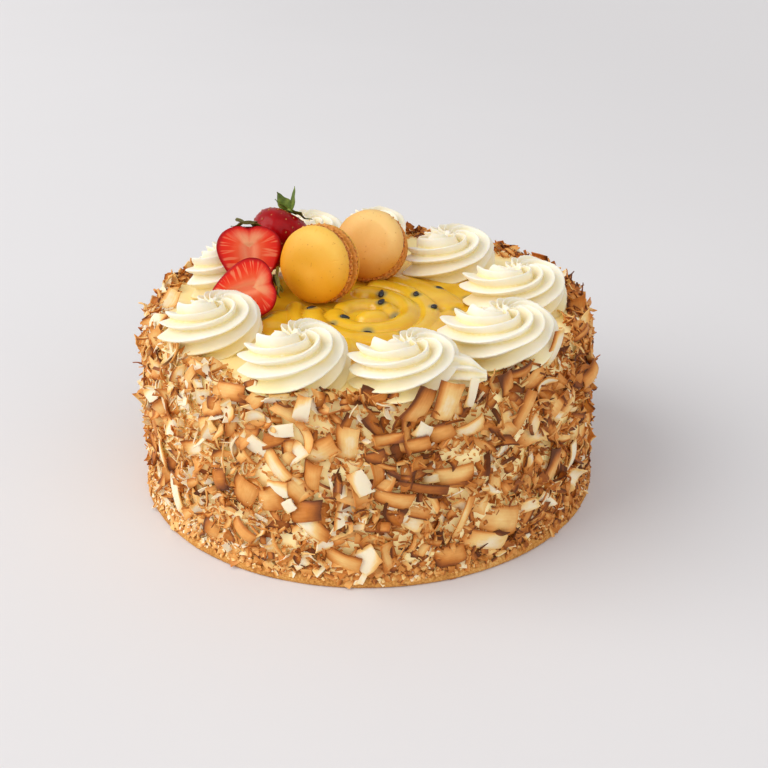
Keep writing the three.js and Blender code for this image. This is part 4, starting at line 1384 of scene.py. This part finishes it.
def makePips(name, row, pips):
    pieces = []
    pick(None)
    bpy.ops.mesh.primitive_ico_sphere_add(subdivisions=2, radius=0.5 * mm)
    model = bpy.context.object
    for place, normal in pips:
        pip = addObject("pip", model.data.copy())
        down = (Vector((0, 0, -1)) - normal * normal.dot(Vector((0, 0, -1)))).normalized()
        spin = Matrix((down, normal.cross(down), normal)).transposed().to_4x4()
        sunk = place * (1 - 0.32 / max(place.length, 6))
        placePiece(pip, Matrix.Translation(sunk * mm) @ spin @ Matrix.Diagonal((*berry["pipSize"], 1)))
        pieces.append(pip)
    bpy.data.objects.remove(model)
    piece = joinPieces(f"strawberryPips{name.capitalize()}", pieces)
    placePiece(piece, berryMatrix(row))
    finish = Finish(f"strawberryPips{name.capitalize()}", 0.4)
    finish.clouded((300, 2), [(0.3, paint(150, 60, 24)), (0.7, paint(206, 130, 56))])
    finishPiece(piece, finish, f"strawberry_{name}")


def berryFinish():
    finish = Finish("strawberryFlesh", 0.32, 0.12, under=(0.12, (1.0, 0.25, 0.12), 0.0015),
                    gloss=(0.15, 0.06))
    inward, cut, stemShare = finish.channels("flesh")
    streak = finish.fibre((2.4, 1.1, 1), 1.0)
    cloud = finish.noise(160, 3)
    inner = finish.ramp(inward + (cloud - 0.5) * 0.12, [
        (0.0, paint(160, 4, 16)), (0.05, paint(196, 8, 8)), (0.14, paint(236, 32, 8)),
        (0.4, paint(246, 60, 20)), (0.65, paint(248, 96, 52)), (0.88, paint(253, 150, 108)),
        (1.0, paint(250, 128, 88))])
    lines = finish.mask(streak, 0.5, 0.6) * finish.mask(inward, 0.05, 0.14)
    lines = lines * (1 - finish.mask(inward, 0.4, 0.7)) * (1 - finish.mask(stemShare, 0.8, 0.97) * 0.8)
    inner = finish.mix(lines * 0.6, inner, paint(255, 158, 110))
    pale = finish.mask(stemShare + (cloud - 0.5) * 0.1, 0.9, 1.02) * finish.mask(inward, 0.05, 0.5)
    inner = finish.mix(pale * 0.6, inner, paint(250, 200, 150))
    skin = finish.ramp(finish.noise(90, 3), [(0.3, paint(140, 0, 8)), (0.7, paint(178, 4, 12))])
    finish.give("Base Color", finish.mix(cut, skin, inner))
    finish.bump(streak * cut * 0.5 + cloud * 0.5 + finish.noise(500, 3) * 0.35, 0.3, 0.5)
    return finish


def leafBlade(turn, length, rise, number, twist=0):
    lean = math.radians(rise)
    steps, strips = leaf["steps"], leaf["strips"]
    spin = Matrix.Rotation(math.radians(turn), 3, "Z")
    rings = []
    for i in range(steps + 1):
        s = i / steps
        swell = math.sin(math.pi * (0.2 + 0.75 * s)) * (1 - smooth(0.8, 1.0, s) * 0.75)
        tooth = 1 + 0.12 * math.sin(9 * s + number)
        half = leaf["width"] / 2 * swell * tooth
        wave = leaf["wave"] * math.sin(2 * math.pi * leaf["waves"] * s) * s
        middle = Vector((leaf["start"] + length * s * math.cos(lean), 0, length * s * math.sin(lean) + wave))
        blade = math.radians(twist)
        upright = Vector((-math.sin(lean), 0, math.cos(lean)))
        side = Vector((0, math.cos(blade), 0)) + upright * math.sin(blade)
        lift = upright * math.cos(blade) - Vector((0, math.sin(blade), 0))
        thick = leaf["thickness"] / 2 * (1 - 0.5 * s)
        top, under = [], []
        for j in range(strips + 1):
            t = 2 * j / strips - 1
            fold = leaf["fold"] * abs(t) * swell * 0.6 + 0.25 * wobble((6 * s, 3 * t, number), 1.5)
            edge = thick * (1 - 0.75 * t * t)
            base = middle + side * (t * half) + lift * fold
            top.append(spin @ (base + lift * edge))
            under.append(spin @ (base - lift * edge))
        rings.append(top + under[::-1])
    return ringSkin(rings)


def keepBehindCut(piece, row, gap):
    # nothing of a half's leaves stands out through its cut
    for vertex in piece.data.vertices if row["half"] else ():
        vertex.co.y = max(vertex.co.y, gap * mm)


def makeCalyx(name, row, finish):
    parts = []
    for number, (turn, length, rise, *twist) in enumerate(row["leaves"]):
        parts.append(meshPiece("leaf", *leafBlade(turn, length, rise, number + len(name), *twist)))
    hub = [(0.4, -0.6), (2.2, -0.6), (3.0, -0.4), (3.0, 0.3), (2.4, 0.9), (1.2, 1.2), (0.3, 1.25)]
    stem = turned("hub", hub, 32)
    keepBehindCut(stem, row, 0.1)
    parts.append(stem)
    piece = joinPieces(f"calyx{name.capitalize()}", parts)
    keepBehindCut(piece, row, 0.05)
    faceOutwards(piece)
    placePiece(piece, berryMatrix(row) @ Matrix.Translation((0, 0, leaf["lift"] * mm)))
    finishPiece(piece, finish, f"calyx_{name}", 60)


def leafFinish(name, tones):
    finish = Finish(name, 0.5, 0.35, under=(0.1, (1.0, 0.2, 0.1), 0.001))
    finish.clouded((220, 4, 0.6), list(zip((0.3, 0.5, 0.7), tones)))
    finish.bump(finish.noise(700, 3), 0.2, 0.5)
    return finish


def makeBerries():
    flesh = berryFinish()
    dried = leafFinish("driedLeaf", [paint(78, 62, 14), paint(104, 98, 30), paint(140, 134, 58)])
    fresh = leafFinish("freshLeaf", [paint(50, 66, 10), paint(88, 108, 26), paint(130, 146, 56)])
    for name, row in berries.items():
        makeBerry(name, row, flesh)
        makeCalyx(name, row, dried if row["half"] else fresh)


makeBerries()
report("strawberries and leaves")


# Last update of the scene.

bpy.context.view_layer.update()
report("done")
